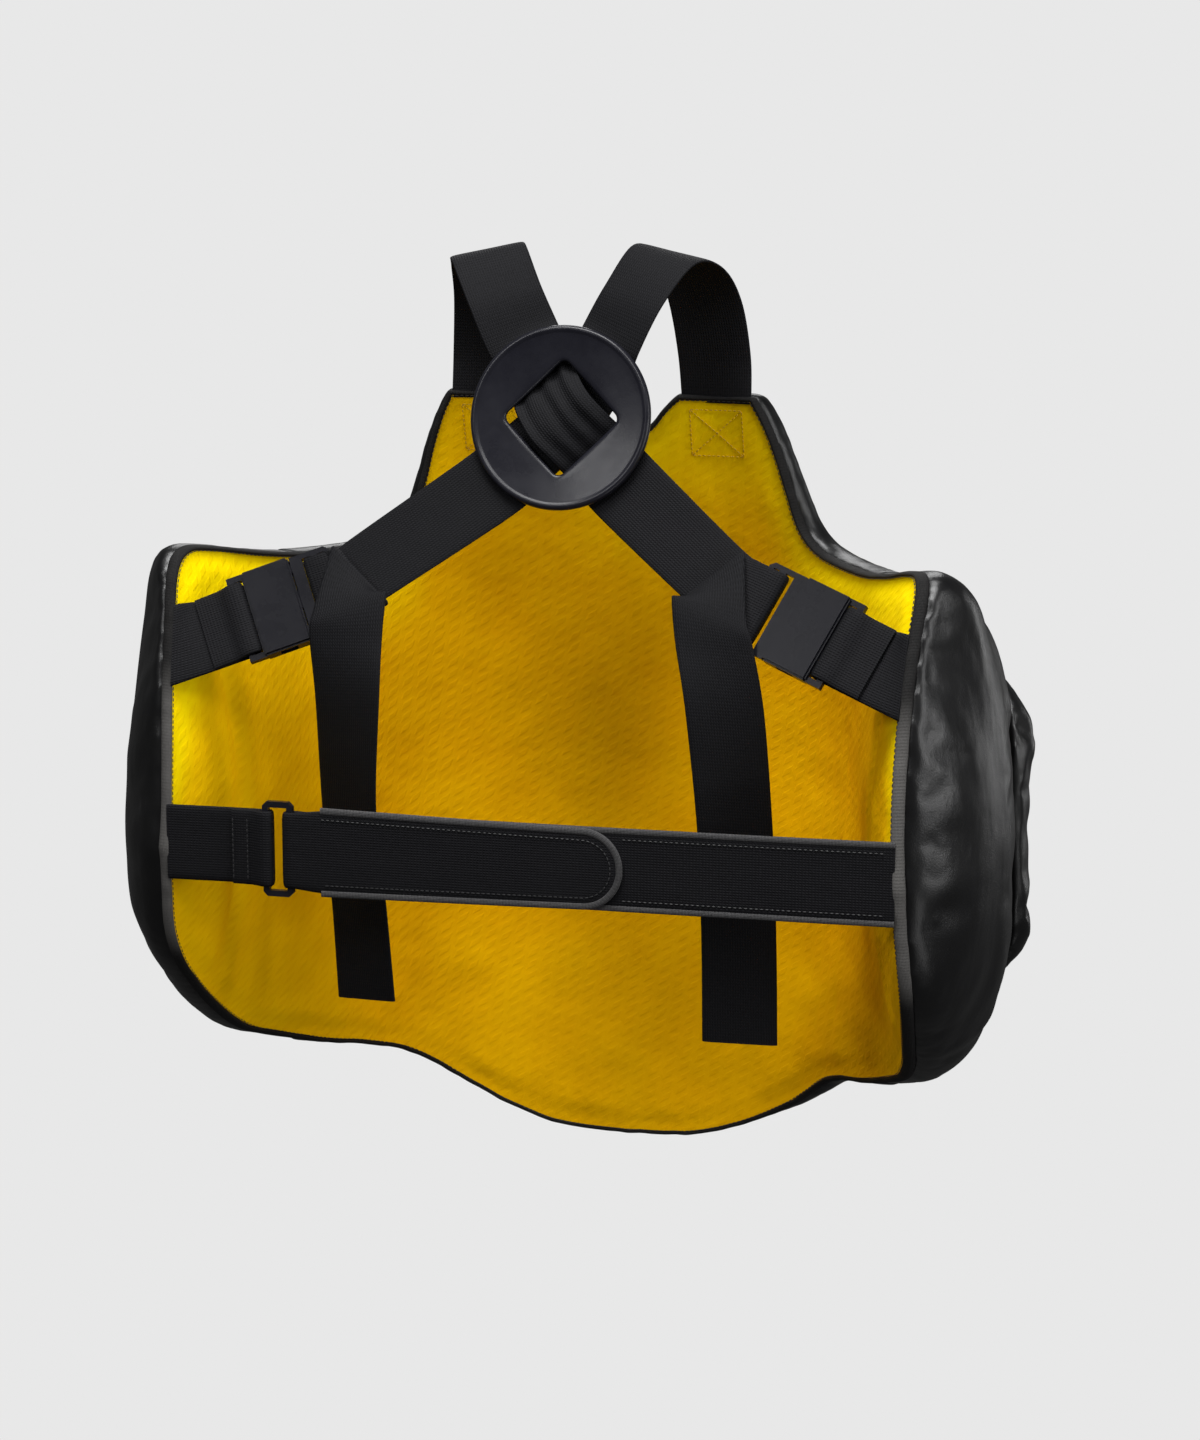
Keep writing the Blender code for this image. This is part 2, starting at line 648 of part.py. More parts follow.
def build_side_strap(side):
    """Short webbing looped round the socket's bar and sewn to the wing's rear edge."""
    frame = buckle_frame(side)
    anchor, down_edge = wing_anchor(side)
    lower = frame.to_3x3() @ Vector((0, 1, 0))
    end_across = down_edge * (WEBBING_W / down_edge.dot(lower))
    layer_step = WEBBING_T + PIECE_GAP
    clear = LOOP_T / 2 + PIECE_GAP + WEBBING_T / 2
    wrap = LOOP_SLOT[1] - PIECE_GAP - WEBBING_T / 2
    across = (0, WEBBING_W, 0)
    stations = in_frame(frame, (
        (LOOP_END + STITCHED_END, 0, layer_step - clear, across),
        (LOOP_END + STITCHED_END / 3, 0, layer_step - clear + 0.0012, across),
        (LOOP_END, 0, clear, across),
        (wrap + 0.001, 0, clear, across),
        (wrap, 0, clear - 0.0012, across),
        (wrap, 0, -clear + 0.0012, across),
        (wrap + 0.001, 0, -clear, across),
        (LOOP_END + STITCHED_END, 0, -clear, across),
    ))
    stations.append((anchor, end_across))
    return sweep("side_strap_right" if side > 0 else "side_strap_left", stations, WEBBING_T, "webbing")


# Hard parts


def flat_outline(name, loops, thickness, frame, finish):
    """A flat plate: its outer outline, then its holes, extruded to its thickness."""
    curve = bpy.data.curves.new(name, "CURVE")
    curve.dimensions = "2D"
    curve.fill_mode = "BOTH"
    curve.extrude = thickness / 2
    for loop in loops:
        spline = curve.splines.new("POLY")
        spline.points.add(len(loop) - 1)
        for point, (x, y) in zip(spline.points, loop):
            point.co = (x, y, 0, 1)
        spline.use_cyclic_u = True
    made = bpy.data.objects.new(name, curve)
    curve.materials.append(material(finish))
    made.matrix_world = frame
    PARTS.objects.link(made)
    return made


def rectangle(start, end, half_width):
    return ((start, -half_width), (end, -half_width), (end, half_width), (start, half_width))


def build_prong(side):
    """The buckle's ladder with its two barbed arms and its guide tongue."""
    half = BUCKLE_HALF_W
    arm_in, arm_out, barb = half - 0.0105, half - 0.0048, half - 0.0006
    tongue = 0.006
    edge = (
        (LADDER_END, -half + 0.003), (LADDER_END + 0.003, -half), (LADDER_BASE, -half),
        (LADDER_BASE, -arm_out), (ARM_END - 0.010, -arm_out), (ARM_END - 0.009, -barb),
        (ARM_END - 0.003, -barb), (ARM_END, -arm_out), (ARM_END, -arm_in),
        (LADDER_BASE, -arm_in), (LADDER_BASE, -tongue), (ARM_END - 0.002, -tongue * 0.6),
    )
    mirrored = tuple((x, -y) for x, y in edge[::-1])
    slots = [rectangle(*OUTER_SLOT, half - 0.0035), rectangle(*INNER_SLOT, half - 0.0035)]
    name = "buckle_prong_right" if side > 0 else "buckle_prong_left"
    return flat_outline(name, [edge + mirrored, *slots], PRONG_T, buckle_frame(side), "plastic")


def box_mesh(name, x, y, z, bevel=0.0):
    """A box between pairs of limits along x, y and z."""
    mesh = bpy.data.meshes.new(name)
    bm = bmesh.new()
    bmesh.ops.create_cube(bm, size=1.0)
    for vertex in bm.verts:
        for axis, (low, high) in enumerate((x, y, z)):
            vertex.co[axis] = (low + high) / 2 + vertex.co[axis] * (high - low)
    if bevel:
        bmesh.ops.bevel(bm, geom=bm.edges, offset=bevel, segments=2, affect="EDGES")
    bm.to_mesh(mesh)
    bm.free()
    return mesh


def cutter(name, mesh, frame):
    made = bpy.data.objects.new(name, mesh)
    made.matrix_world = frame
    made.hide_render = True
    made.display_type = "WIRE"
    CUTTERS.objects.link(made)
    return made


def boolean(target, tool, operation):
    step = target.modifiers.new(tool.name, "BOOLEAN")
    step.object = tool
    step.operation = operation
    step.solver = "EXACT"


def build_socket(side):
    """The buckle's hollow half, with windows for the barbs and a bar for the side strap."""
    name = "buckle_socket_right" if side > 0 else "buckle_socket_left"
    frame = buckle_frame(side)
    half, thick = BUCKLE_HALF_W + 0.0005, SOCKET_T / 2
    mesh = box_mesh(name, SOCKET, (-half, half), (-thick, thick), bevel=0.0014)
    made = add_object(name, mesh, "plastic")
    made.matrix_world = frame
    bar = box_mesh(name + "_bar", (SOCKET[1] - 0.004, LOOP_END), (-half, half), (-LOOP_T / 2, LOOP_T / 2))
    boolean(made, cutter(name + "_bar", bar, frame), "UNION")
    inside = half - SOCKET_WALL
    height = PRONG_T / 2 + 0.0005
    cavity = box_mesh(name + "_cavity", (SOCKET[0] - 0.005, ARM_END + 0.002), (-inside, inside), (-height, height))
    boolean(made, cutter(name + "_cavity", cavity, frame), "DIFFERENCE")
    windows = box_mesh(name + "_windows", (ARM_END - 0.012, ARM_END), (-half - 0.005, half + 0.005), (-height, height))
    boolean(made, cutter(name + "_windows", windows, frame), "DIFFERENCE")
    slot = box_mesh(name + "_slot", LOOP_SLOT, (-WEBBING_W / 2 - 0.001, WEBBING_W / 2 + 0.001), (-thick, thick))
    boolean(made, cutter(name + "_slot", slot, frame), "DIFFERENCE")
    return made


def rounded_square(half_diagonal, corner, steps):
    """Corners of a square that stands on one of them, each rounded."""
    reach = half_diagonal - corner * math.sqrt(2)
    loop = []
    for quarter in range(4):
        middle = quarter * math.pi / 2
        for step in range(steps + 1):
            angle = middle - math.pi / 4 + step * math.pi / 2 / steps
            x = reach * math.cos(middle) + corner * math.cos(angle)
            loop.append((x, reach * math.sin(middle) + corner * math.sin(angle)))
    return loop


def build_ring():
    """Dished ring, turned from its profile, with a square opening that stands on a corner."""
    low, rim = -RING_T / 2, RING_RADIUS
    inner = RING_HOLE * 0.55
    bead = 0.0008
    profile = (
        (inner, low), (rim - 0.006, low + RING_DISH), (rim - 0.002, low + RING_DISH - bead),
        (rim, RING_DISH), (rim - 0.002, RING_DISH - low + bead), (rim - 0.006, RING_DISH - low),
        (inner, -low),
    )
    mesh = bpy.data.meshes.new("back_ring")
    edges = [(i, (i + 1) % len(profile)) for i in range(len(profile))]
    mesh.from_pydata([(r, 0, h) for r, h in profile], edges, [])
    made = add_object("back_ring", mesh, "plastic")
    centre, right, up, out = ring_frame()
    frame = Matrix((
        (right.x, up.x, out.x, centre.x), (right.y, up.y, out.y, centre.y),
        (right.z, up.z, out.z, centre.z), (0, 0, 0, 1),
    ))
    made.matrix_world = frame
    turn = made.modifiers.new("turn", "SCREW")
    turn.steps = turn.render_steps = 40
    turn.use_merge_vertices = True
    turn.merge_threshold = 0.00001
    turn.use_normal_calculate = True
    loop = rounded_square(RING_HOLE, RING_HOLE_CORNER, 3)
    deep = 0.02
    rings = [[(x, y, z) for x, y in loop] for z in (-deep, deep)]
    points, faces = skinned(rings, closed=False)
    boolean(made, cutter("ring_hole", closed_mesh("ring_hole", points, faces), frame), "DIFFERENCE")
    return made


# Waist belt


def belt_end(side):
    """Where the belt meets the wing's rear edge."""
    return body_point(side * (HALF_GIRTH - BINDING_W / 2), BELT_Z, -BINDING_PROUD - SEAM_GAP)


def belt_y(x):
    """How far forward the belt's inner strap lies at x, with a slight bow to the back."""
    end = belt_end(1)
    return end.y - BELT_BOW * (1 - (x / end.x) ** 2)


def build_belt():
    end = belt_end(1)
    loop_y = belt_y(LOOP_X)
    clear = LOOP_BAR / 2 + PIECE_GAP + WEBBING_T / 2
    step = WEBBING_T + PIECE_GAP
    wide = LOOP_GAP / 2
    outer = wide + LOOP_BAR

    def station(x, y, width):
        return (Vector((x, y, BELT_Z)), Vector((0, 0, width)))

    wrap = LOOP_X + wide - PIECE_GAP - WEBBING_T / 2
    stations = [station(end.x, end.y, BELT_W)]
    stations += [station(x, belt_y(x), BELT_W) for x in np.linspace(0.75 * end.x, LOOP_X + outer + 0.02, 7)]
    stations += [
        station(LOOP_X + outer, loop_y + clear, BELT_W),
        station(wrap + 0.0012, loop_y + clear, BELT_W),
        station(wrap, loop_y + clear - 0.0012, BELT_W),
        station(wrap, loop_y - clear + 0.0012, BELT_W),
        station(wrap + 0.0012, loop_y - clear, BELT_W),
        station(LOOP_X + outer, loop_y - clear, BELT_W),
    ]
    start, tip = LOOP_X + outer + 0.02, FLAP_TIP - FLAP_TIP_W / 2
    for share in np.linspace(0, 1, 7):
        x = start + (tip - start) * share
        stations.append(station(x, belt_y(x) - step, FLAP_W + (FLAP_TIP_W - FLAP_W) * share))
    for angle in np.radians((20, 40, 58, 72, 82)):
        x = tip + FLAP_TIP_W / 2 * math.sin(angle)
        stations.append(station(x, belt_y(x) - step, FLAP_TIP_W * math.cos(angle)))
    sweep("belt_strap", stations, WEBBING_T, "webbing")

    wrap = LOOP_X - wide + PIECE_GAP + WEBBING_T / 2
    left = belt_end(-1)
    sewn = LOOP_X - outer - STITCHED_END
    anchor = [
        station(left.x, left.y, BELT_W),
        station(sewn, loop_y + clear, BELT_W),
        station(wrap - 0.0012, loop_y + clear, BELT_W),
        station(wrap, loop_y + clear - 0.0012, BELT_W),
        station(wrap, loop_y - clear + 0.0012, BELT_W),
        station(wrap - 0.0012, loop_y - clear, BELT_W),
        station(LOOP_X - outer, loop_y - clear, BELT_W),
        station(LOOP_X - outer - STITCHED_END / 3, loop_y + clear - step - 0.0012, BELT_W),
        station(LOOP_X - outer - STITCHED_END * 0.9, loop_y + clear - step - 0.0004, BELT_W),
    ]
    sweep("belt_anchor", anchor, WEBBING_T, "webbing")

    frame = Matrix(((1, 0, 0, LOOP_X), (0, 0, -1, loop_y), (0, 1, 0, BELT_Z), (0, 0, 0, 1)))
    high = LOOP_HEIGHT / 2
    corner = 0.003
    around = (
        (-outer, -high + corner), (-outer + corner, -high), (outer - corner, -high), (outer, -high + corner),
        (outer, high - corner), (outer - corner, high), (-outer + corner, high), (-outer, high - corner),
    )
    hole = rectangle(-wide, wide, high - LOOP_BAR)
    flat_outline("belt_loop", [around, hole], LOOP_BAR, frame, "plastic")


def clear_scene():
    for obj in list(bpy.data.objects):
        bpy.data.objects.remove(obj)


def new_collection(name):
    made = bpy.data.collections.new(name)
    bpy.context.scene.collection.children.link(made)
    return made


clear_scene()
PARTS = new_collection("body_protector")
CUTTERS = new_collection("cutters")
build_body()
build_ring()
for wearer_side in (1, -1):
    build_harness_strap(wearer_side)
    build_tail(wearer_side)
    build_prong(wearer_side)
    build_socket(wearer_side)
    build_side_strap(wearer_side)
build_belt()
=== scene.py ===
"""Looks of the padded body protector: leather pads, lining, binding, webbing harness and belt."""

import math

import bmesh
import bpy
import numpy as np
from mathutils import Matrix, Vector
from mathutils.bvhtree import BVHTree
from mathutils.kdtree import KDTree


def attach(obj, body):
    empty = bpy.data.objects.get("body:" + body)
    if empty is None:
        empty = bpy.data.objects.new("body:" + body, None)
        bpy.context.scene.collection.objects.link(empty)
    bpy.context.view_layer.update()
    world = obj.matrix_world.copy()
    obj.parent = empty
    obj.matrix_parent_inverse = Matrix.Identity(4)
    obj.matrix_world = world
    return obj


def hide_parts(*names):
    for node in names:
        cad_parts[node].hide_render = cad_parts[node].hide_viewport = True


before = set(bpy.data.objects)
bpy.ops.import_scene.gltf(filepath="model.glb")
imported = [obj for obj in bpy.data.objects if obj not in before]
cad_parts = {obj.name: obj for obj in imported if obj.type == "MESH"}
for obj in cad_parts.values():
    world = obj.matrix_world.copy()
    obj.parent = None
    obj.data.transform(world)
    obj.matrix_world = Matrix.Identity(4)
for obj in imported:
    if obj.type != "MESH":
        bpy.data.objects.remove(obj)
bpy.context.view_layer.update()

# Body, measured on the lining
HALF_GIRTH = 0.405
BODY_HEIGHT = 0.534
TAB_DROP = 0.102
CHEST_FORWARD = 0.105
TURN_START = 0.05
TURN_END = 0.255
WING_TURN = math.radians(76)
FOLD_ARC = 0.335
FOLD_TURN = math.radians(8)
FOLD_REACH = 0.02
CHEST_LEAN = 0.050
LOBE_TUCK = 0.012
WING_FLARE = 0.028
FLARE_START = 0.17
FLARE_END = 0.35
FLARE_REACH = 0.15
FLARE_RISE = 0.02
LOBE_SKEW = 0.009

# Layers
LINING_T = 0.0036
LINING_INSET = 0.0012
LAYER_ROWS = 84
BELLY_ROWS = 70
HALF_SEAM = 0.0002
PAD_INNER = 0.0044
BINDING_W = 0.0055
BINDING_PROUD = 0.0016
EDGE_T = 0.020
WALL_TAPER = 0.015
SWELL_TAPER = 0.35
TAPER_ARC = 0.27
TAPER_Z = -0.34
TAPER_REACH = 0.12
TAB_PAD_T = 0.030
FRONT_PAD_T = 0.058
CHEST_START = 0.040
CHEST_BLEND = 0.100
FRONT_ROUND = 0.055
SIDE_PAD_T = 0.094
SIDE_ROUND = 0.115
SWELL_POWER = 0.72
CREASE_ARC = 0.232
CREASE_T = 0.034
CREASE_ROUND = 0.045
BELLY_PAD_T = 0.032
BELLY_GAP = 0.0009
BELLY_HALF_ARC = 0.252
BELLY_TOP = 0.142
BELLY_HEIGHT = 0.290
BELLY_EDGE_T = 0.008
BELLY_ROUND = 0.085
BELLY_CORNER = 0.12
BLEND_START = 0.170
BLEND_END = 0.240

# Webbing and harness
WEBBING_W = 0.050
WEBBING_T = 0.0022
PIECE_GAP = 0.0004
SEAM_GAP = 0.0012
TAB_MID_ARC = 0.080
RING_SIDE = 0.003
RING_BACK = 0.058
RING_DROP = 0.107
RING_TILT = math.radians(13)
RING_RADIUS = 0.0602
RING_T = 0.0036
RING_DISH = 0.004
RING_HOLE = 0.039
RING_HOLE_CORNER = 0.005
BUCKLE_SHARE = 0.72
HARNESS_SAG = 0.015
HARNESS_PITCH = math.radians(24)
WING_ANCHOR_DROP = 0.1515
TAIL_FOLD = {1: 0.064, -1: 0.050}
TAIL_FOLD_ANGLE = math.radians(24)
TAIL_FOLD_RADIUS = 0.0016
TAIL_DROP = {1: 0.306, -1: 0.288}
TAIL_ASIDE = {1: 0.004, -1: -0.0125}
TAIL_SWING = 0.3

# Buckle, along the webbing from its centre
PRONG_T = 0.0044
LADDER_END = -0.0360
OUTER_SLOT = (-0.0325, -0.0280)
INNER_SLOT = (-0.0235, -0.0170)
LOOP_SLOT = (0.0245, 0.0300)
LOOP_END = 0.0345
LOOP_T = 0.0048

# Waist belt
BELT_DROP = 0.279
BELT_W = 0.050
FLAP_W = 0.0545
FLAP_TIP_W = 0.0485
FLAP_TIP = 0.066
BELT_BOW = 0.004
LAYER_STEP = WEBBING_T + PIECE_GAP
LOOP_X = -0.1625
LOOP_GAP = 0.0125
LOOP_BAR = 0.004
LOOP_HALF = LOOP_GAP / 2 + LOOP_BAR
FLAP_START = LOOP_X + LOOP_HALF + 0.02
FLAP_ROUND = FLAP_TIP - FLAP_TIP_W / 2
SEAM_INSET = 0.0055
STITCHED_END = 0.024

TAB_TOP_Z = -TAB_DROP
BELT_Z = TAB_TOP_Z - BELT_DROP
LOBE_Z = TAB_TOP_Z - BODY_HEIGHT
REAR = HALF_GIRTH - HALF_SEAM

# Outline, as shares of the half girth and of the height down from the tabs
LOWER_EDGE = (
    (0.000, 1.000), (0.120, 0.995), (0.210, 0.975), (0.286, 0.946), (0.351, 0.916), (0.407, 0.891),
    (0.469, 0.875), (0.543, 0.861), (0.642, 0.834), (0.706, 0.814), (0.797, 0.768), (0.872, 0.724),
    (0.931, 0.680), (0.973, 0.625), (1.000, 0.530),
)
ARMHOLE_EDGE = (
    (1.000, 0.530), (0.984, 0.427), (0.951, 0.339), (0.901, 0.264), (0.845, 0.201), (0.797, 0.176),
    (0.741, 0.178), (0.652, 0.192), (0.543, 0.203), (0.437, 0.201), (0.380, 0.189), (0.346, 0.163),
    (0.323, 0.116), (0.304, 0.071), (0.284, 0.032), (0.262, 0.000),
)
NECK_EDGE = ((0.134, 0.000), (0.112, 0.014), (0.075, 0.045), (0.037, 0.063), (0.000, 0.068))

# Shoulder strap in front of the wearer's shoulder: places as shares of the tab's, and the way across
STRAP_FRONT = (
    (0.985, 0.95, 0.72, (1.00, 0.00, 0.00)),
    (0.935, 0.76, 0.37, (0.99, -0.02, 0.04)),
    (0.860, 0.34, 0.11, (0.97, -0.16, -0.10)),
    (0.745, -0.20, 0.034, (0.923, -0.317, -0.216)),
)
# The same behind it: shares of the tab's place, the ring's distance back and drop, and the way across
STRAP_BACK = (
    (0.550, 0.510, 0.264, (0.893, -0.408, -0.188)),
    (0.379, 0.600, 0.520, (0.840, -0.420, -0.330)),
)
# In the ring: aside and up as shares of its radius, depths of the left and right strap, width, way across
STRAP_THROUGH_RING = (
    (0.35, 0.62, -0.0060, -0.0104, 0.90, (0.86, -0.51)),
    (0.26, 0.43, -0.0046, -0.0094, 0.90, (0.84, -0.54)),
    (0.15, 0.21, 0.0022, -0.0072, 0.90, (0.80, -0.60)),
    (0.00, 0.00, 0.0052, -0.0060, 0.90, (0.74, -0.67)),
    (-0.17, -0.17, 0.0022, -0.0058, 0.90, (0.71, -0.70)),
    (-0.35, -0.34, -0.0046, -0.0058, 0.92, (0.70, -0.71)),
    (-0.50, -0.48, -0.0026, -0.0034, 0.96, (0.69, -0.72)),
    (-0.78, -0.76, -0.0010, -0.0010, 1.00, (0.69, -0.72)),
)
# Hanging tail: share of its drop, aside, forward, and the way across
TAIL_HANG = (
    (0.050, 0.002, -0.0145, (-0.960, 0.060, 0.22)),
    (0.120, 0.006, -0.0225, (-0.990, -0.020, 0.05)),
    (0.265, 0.012, -0.0265, (-0.960, -0.270, 0.07)),
    (0.530, 0.0165, -0.0140, (-0.890, -0.440, 0.11)),
    (0.770, 0.0160, 0.002, (-0.900, -0.420, 0.10)),
    (1.000, 0.0150, 0.012, (-0.920, -0.375, 0.10)),
)


def smoothstep(t):
    t = np.clip(t, 0.0, 1.0)
    return t * t * (3 - 2 * t)


def unit(vector):
    return Vector(vector).normalized()


def named(stem, side):
    return stem + ("_right" if side > 0 else "_left")


def link(obj):
    bpy.context.scene.collection.objects.link(obj)


def slanted(side, across):
    """The way across the webbing on one side, as long as the webbing is wide."""
    return unit((side * across[0], *across[1:])) * WEBBING_W


def rows_of(vectors):
    return np.array([list(v) for v in vectors])


def lengths_along(path):
    """Distance from the start of a path to each of its points."""
    return np.concatenate([[0], np.cumsum(np.linalg.norm(np.diff(path, axis=0), axis=1))])


def tube_faces(near, far):
    """Faces between rings of point numbers and the rings after them."""
    return np.stack([near, np.roll(near, -1, 1), np.roll(far, -1, 1), far], -1).reshape(-1, 4)


# Plan of the lining


def plan_curve():
    """The right half of the lining seen from above: arc, heading and place."""
    arc = np.linspace(0, HALF_GIRTH * 1.05, 1201)
    turned = WING_TURN * smoothstep((arc - TURN_START) / (TURN_END - TURN_START))
    turned -= FOLD_TURN * smoothstep((arc - FOLD_ARC + FOLD_REACH) / (2 * FOLD_REACH))
    step = arc[1] - arc[0]
    x = np.concatenate([[0], np.cumsum(np.cos((turned[1:] + turned[:-1]) / 2) * step)])
    y = CHEST_FORWARD - np.concatenate([[0], np.cumsum(np.sin((turned[1:] + turned[:-1]) / 2) * step)])
    return arc, turned, x, y


PLAN_ARC, PLAN_TURN, PLAN_X, PLAN_Y = plan_curve()


def lean(z):
    """How far back the chest leans above the belt, and the lower lobe tucks below it."""
    up = np.clip((z - BELT_Z) / (TAB_TOP_Z - BELT_Z), 0, 1.2)
    down = np.clip((BELT_Z - z) / (BELT_Z - LOBE_Z), 0, 1.2)
    return -CHEST_LEAN * up**1.8 - LOBE_TUCK * down**2


def flare(arc, z):
    """How far the wings open sideways above and below the belt."""
    rise = np.clip(abs(z - BELT_Z - FLARE_RISE) / FLARE_REACH, 0, 1.25)
    return WING_FLARE * rise**2 * smoothstep((abs(arc) - FLARE_START) / (FLARE_END - FLARE_START))


def body_points(arc, z, out=0.0):
    """Points on the lining's inner face at arcs and heights, moved out from the wearer."""
    arc, z, out = np.broadcast_arrays(np.asarray(arc, float), z, out)
    side = np.where(arc < 0, -1.0, 1.0)
    turned = np.interp(abs(arc), PLAN_ARC, PLAN_TURN)
    x = np.interp(abs(arc), PLAN_ARC, PLAN_X) + flare(arc, z) + out * np.sin(turned)
    y = np.interp(abs(arc), PLAN_ARC, PLAN_Y) + lean(z) + out * np.cos(turned)
    return np.stack([side * x, y, z], axis=-1)


def body_point(arc, z, out=0.0):
    return Vector(body_points(arc, z, out))


def smooth_line(points, steps):
    """A curve through the given points, in that many steps from one to the next."""
    points = np.array(points, float)
    ends = np.vstack([2 * points[0] - points[1], points, 2 * points[-1] - points[-2]])
    found = []
    for before, start, end, after in zip(ends, ends[1:], ends[2:], ends[3:]):
        for t in np.arange(steps) / steps:
            bend = (2 * before - 5 * start + 4 * end - after) * t**2
            twist = (3 * start - before - 3 * end + after) * t**3
            found.append(start + ((end - before) * t + bend + twist) / 2)
    return np.array(found + [points[-1]])


def sized(edge):
    return [(arc * HALF_GIRTH, TAB_TOP_Z - drop * BODY_HEIGHT) for arc, drop in edge]


LOWER = smooth_line(sized(LOWER_EDGE), 10)
UPPER = np.vstack([smooth_line(sized(ARMHOLE_EDGE), 10), smooth_line(sized(NECK_EDGE), 10)])[::-1]


def lower_z(arc):
    shift = LOBE_SKEW * (1 - smoothstep((abs(arc) - 0.13) / 0.06))
    return np.interp(abs(arc - shift), LOWER[:, 0], LOWER[:, 1])


def upper_z(arc):
    return np.interp(abs(arc), UPPER[:, 0], UPPER[:, 1])


def outline():
    """The body's outline, anticlockwise from the rearmost point of the left wing."""
    arcs = np.unique(np.round(np.concatenate([UPPER[:, 0], LOWER[:, 0]]), 5))
    arcs = np.concatenate([-arcs[:0:-1], arcs])
    arcs = arcs[np.concatenate([[True], np.diff(arcs) > 2e-4])]
    low = np.stack([arcs, lower_z(arcs)], 1)
    high = np.stack([arcs[::-1], upper_z(arcs[::-1])], 1)
    loop = np.vstack([low, high])
    far = np.linalg.norm(loop - np.roll(loop, 1, 0), axis=1) > 1e-4
    return loop[far]


OUTLINE = outline()
OUTLINE_RUN = np.roll(OUTLINE, -1, 0) - OUTLINE
OUTLINE_LENGTH = np.linalg.norm(OUTLINE_RUN, axis=1)
OUTLINE_START = np.concatenate([[0], np.cumsum(OUTLINE_LENGTH)[:-1]])


def edge_places(arc, z):
    """How far in from the outline each place lies, and how far round it the nearest point is."""
    arc, z = np.broadcast_arrays(np.asarray(arc, float), z)
    places = np.stack([arc.ravel(), z.ravel()], 1)
    inward, round_it = [], []
    for some in np.array_split(places, max(1, len(places) // 2000)):
        gap = some[:, None] - OUTLINE
        share = np.clip((gap * OUTLINE_RUN).sum(2) / OUTLINE_LENGTH**2, 0, 1)
        far = np.linalg.norm(gap - share[..., None] * OUTLINE_RUN, axis=2)
        nearest = far.argmin(1)
        rows = np.arange(len(some))
        inward.append(far[rows, nearest])
        round_it.append(OUTLINE_START[nearest] + share[rows, nearest] * OUTLINE_LENGTH[nearest])
    return np.concatenate(inward).reshape(arc.shape), np.concatenate(round_it).reshape(arc.shape)


def drift(u, v, seed):
    """Smooth random relief between -1 and 1 on a unit lattice."""
    table = np.random.default_rng(seed).uniform(-1, 1, (128, 128))
    i, j = np.floor(u).astype(int), np.floor(v).astype(int)
    a, b = smoothstep(u - i), smoothstep(v - j)
    i, j, i2, j2 = i % 128, j % 128, (i + 1) % 128, (j + 1) % 128
    near = table[i, j] * (1 - a) + table[i2, j] * a
    far = table[i, j2] * (1 - a) + table[i2, j2] * a
    return near * (1 - b) + far * b


# Materials

DASH_TURN = math.radians(-31)
DASH_PITCH = (0.0135, 0.0068)
DASH_SHIFT = 0.37
DASH_SLANT = 0.70
LINING_WEAVE = 2 * math.pi / 0.0011
TWILL = 2 * math.pi / 0.0021
WEBBING_RIB = 0.0017
TAPE_RIB = 0.0009


class Nodes:
    """Short way to lay out one material's nodes."""

    def __init__(self, name):
        self.material = bpy.data.materials.new(name)
        self.material.use_nodes = True
        self.tree = self.material.node_tree
        self.shader = self.tree.nodes["Principled BSDF"]

    def add(self, kind, inputs=None, **settings):
        node = self.tree.nodes.new(kind)
        for key, value in settings.items():
            setattr(node, key, value)
        for key, value in (inputs or {}).items():
            self.put(node.inputs[key], value)
        return node

    def put(self, socket, value):
        if isinstance(value, bpy.types.NodeSocket):
            self.tree.links.new(value, socket)
        else:
            socket.default_value = value

    def math(self, operation, *values):
        node = self.add("ShaderNodeMath", operation=operation)
        for socket, value in zip(node.inputs, values):
            self.put(socket, value)
        return node.outputs[0]

    def times(self, first, second):
        return self.math("MULTIPLY", first, second)

    def plus(self, first, second):
        return self.math("ADD", first, second)

    def minus(self, first, second):
        return self.math("SUBTRACT", first, second)

    def share(self, name):
        """A number that add_shares gave the piece's points."""
        return self.add("ShaderNodeAttribute", attribute_name=name).outputs["Fac"]

    def noise(self, vector, scale, detail=2.0, roughness=0.5):
        inputs = {"Vector": vector, "Scale": scale, "Detail": detail, "Roughness": roughness}
        return self.add("ShaderNodeTexNoise", inputs).outputs[0]

    def scaled(self, vector, scale, turn=0.0):
        node = self.add("ShaderNodeMapping", {"Vector": vector, "Scale": scale})
        node.inputs["Rotation"].default_value = (0, 0, turn)
        return node.outputs[0]

    def ramp(self, value, *stops):
        node = self.add("ShaderNodeValToRGB", {0: value})
        while len(node.color_ramp.elements) < len(stops):
            node.color_ramp.elements.new(0.5)
        for element, (place, colour) in zip(node.color_ramp.elements, stops):
            element.position = place
            element.color = (colour, colour, colour, 1)
        return node.outputs[0]

    def mix(self, share, first, second):
        node = self.add("ShaderNodeMix", data_type="RGBA", blend_type="MIX")
        for key, value in ((0, share), (6, first), (7, second)):
            if isinstance(value, tuple):
                value = (*value, 1)
            self.put(node.inputs[key], value)
        return node.outputs[2]

    def object_place(self):
        return self.add("ShaderNodeTexCoord").outputs["Object"]

    def flat_place(self):
        return self.add("ShaderNodeUVMap", uv_map="flat").outputs[0]

    def bump(self, height, strength, distance, normal=None):
        inputs = {"Height": height, "Strength": strength, "Distance": distance}
        if normal is not None:
            inputs["Normal"] = normal
        return self.add("ShaderNodeBump", inputs).outputs[0]

    def finish(self, **sockets):
        for key, value in sockets.items():
            self.put(self.shader.inputs[key.replace("_", " ")], value)
        return self.material


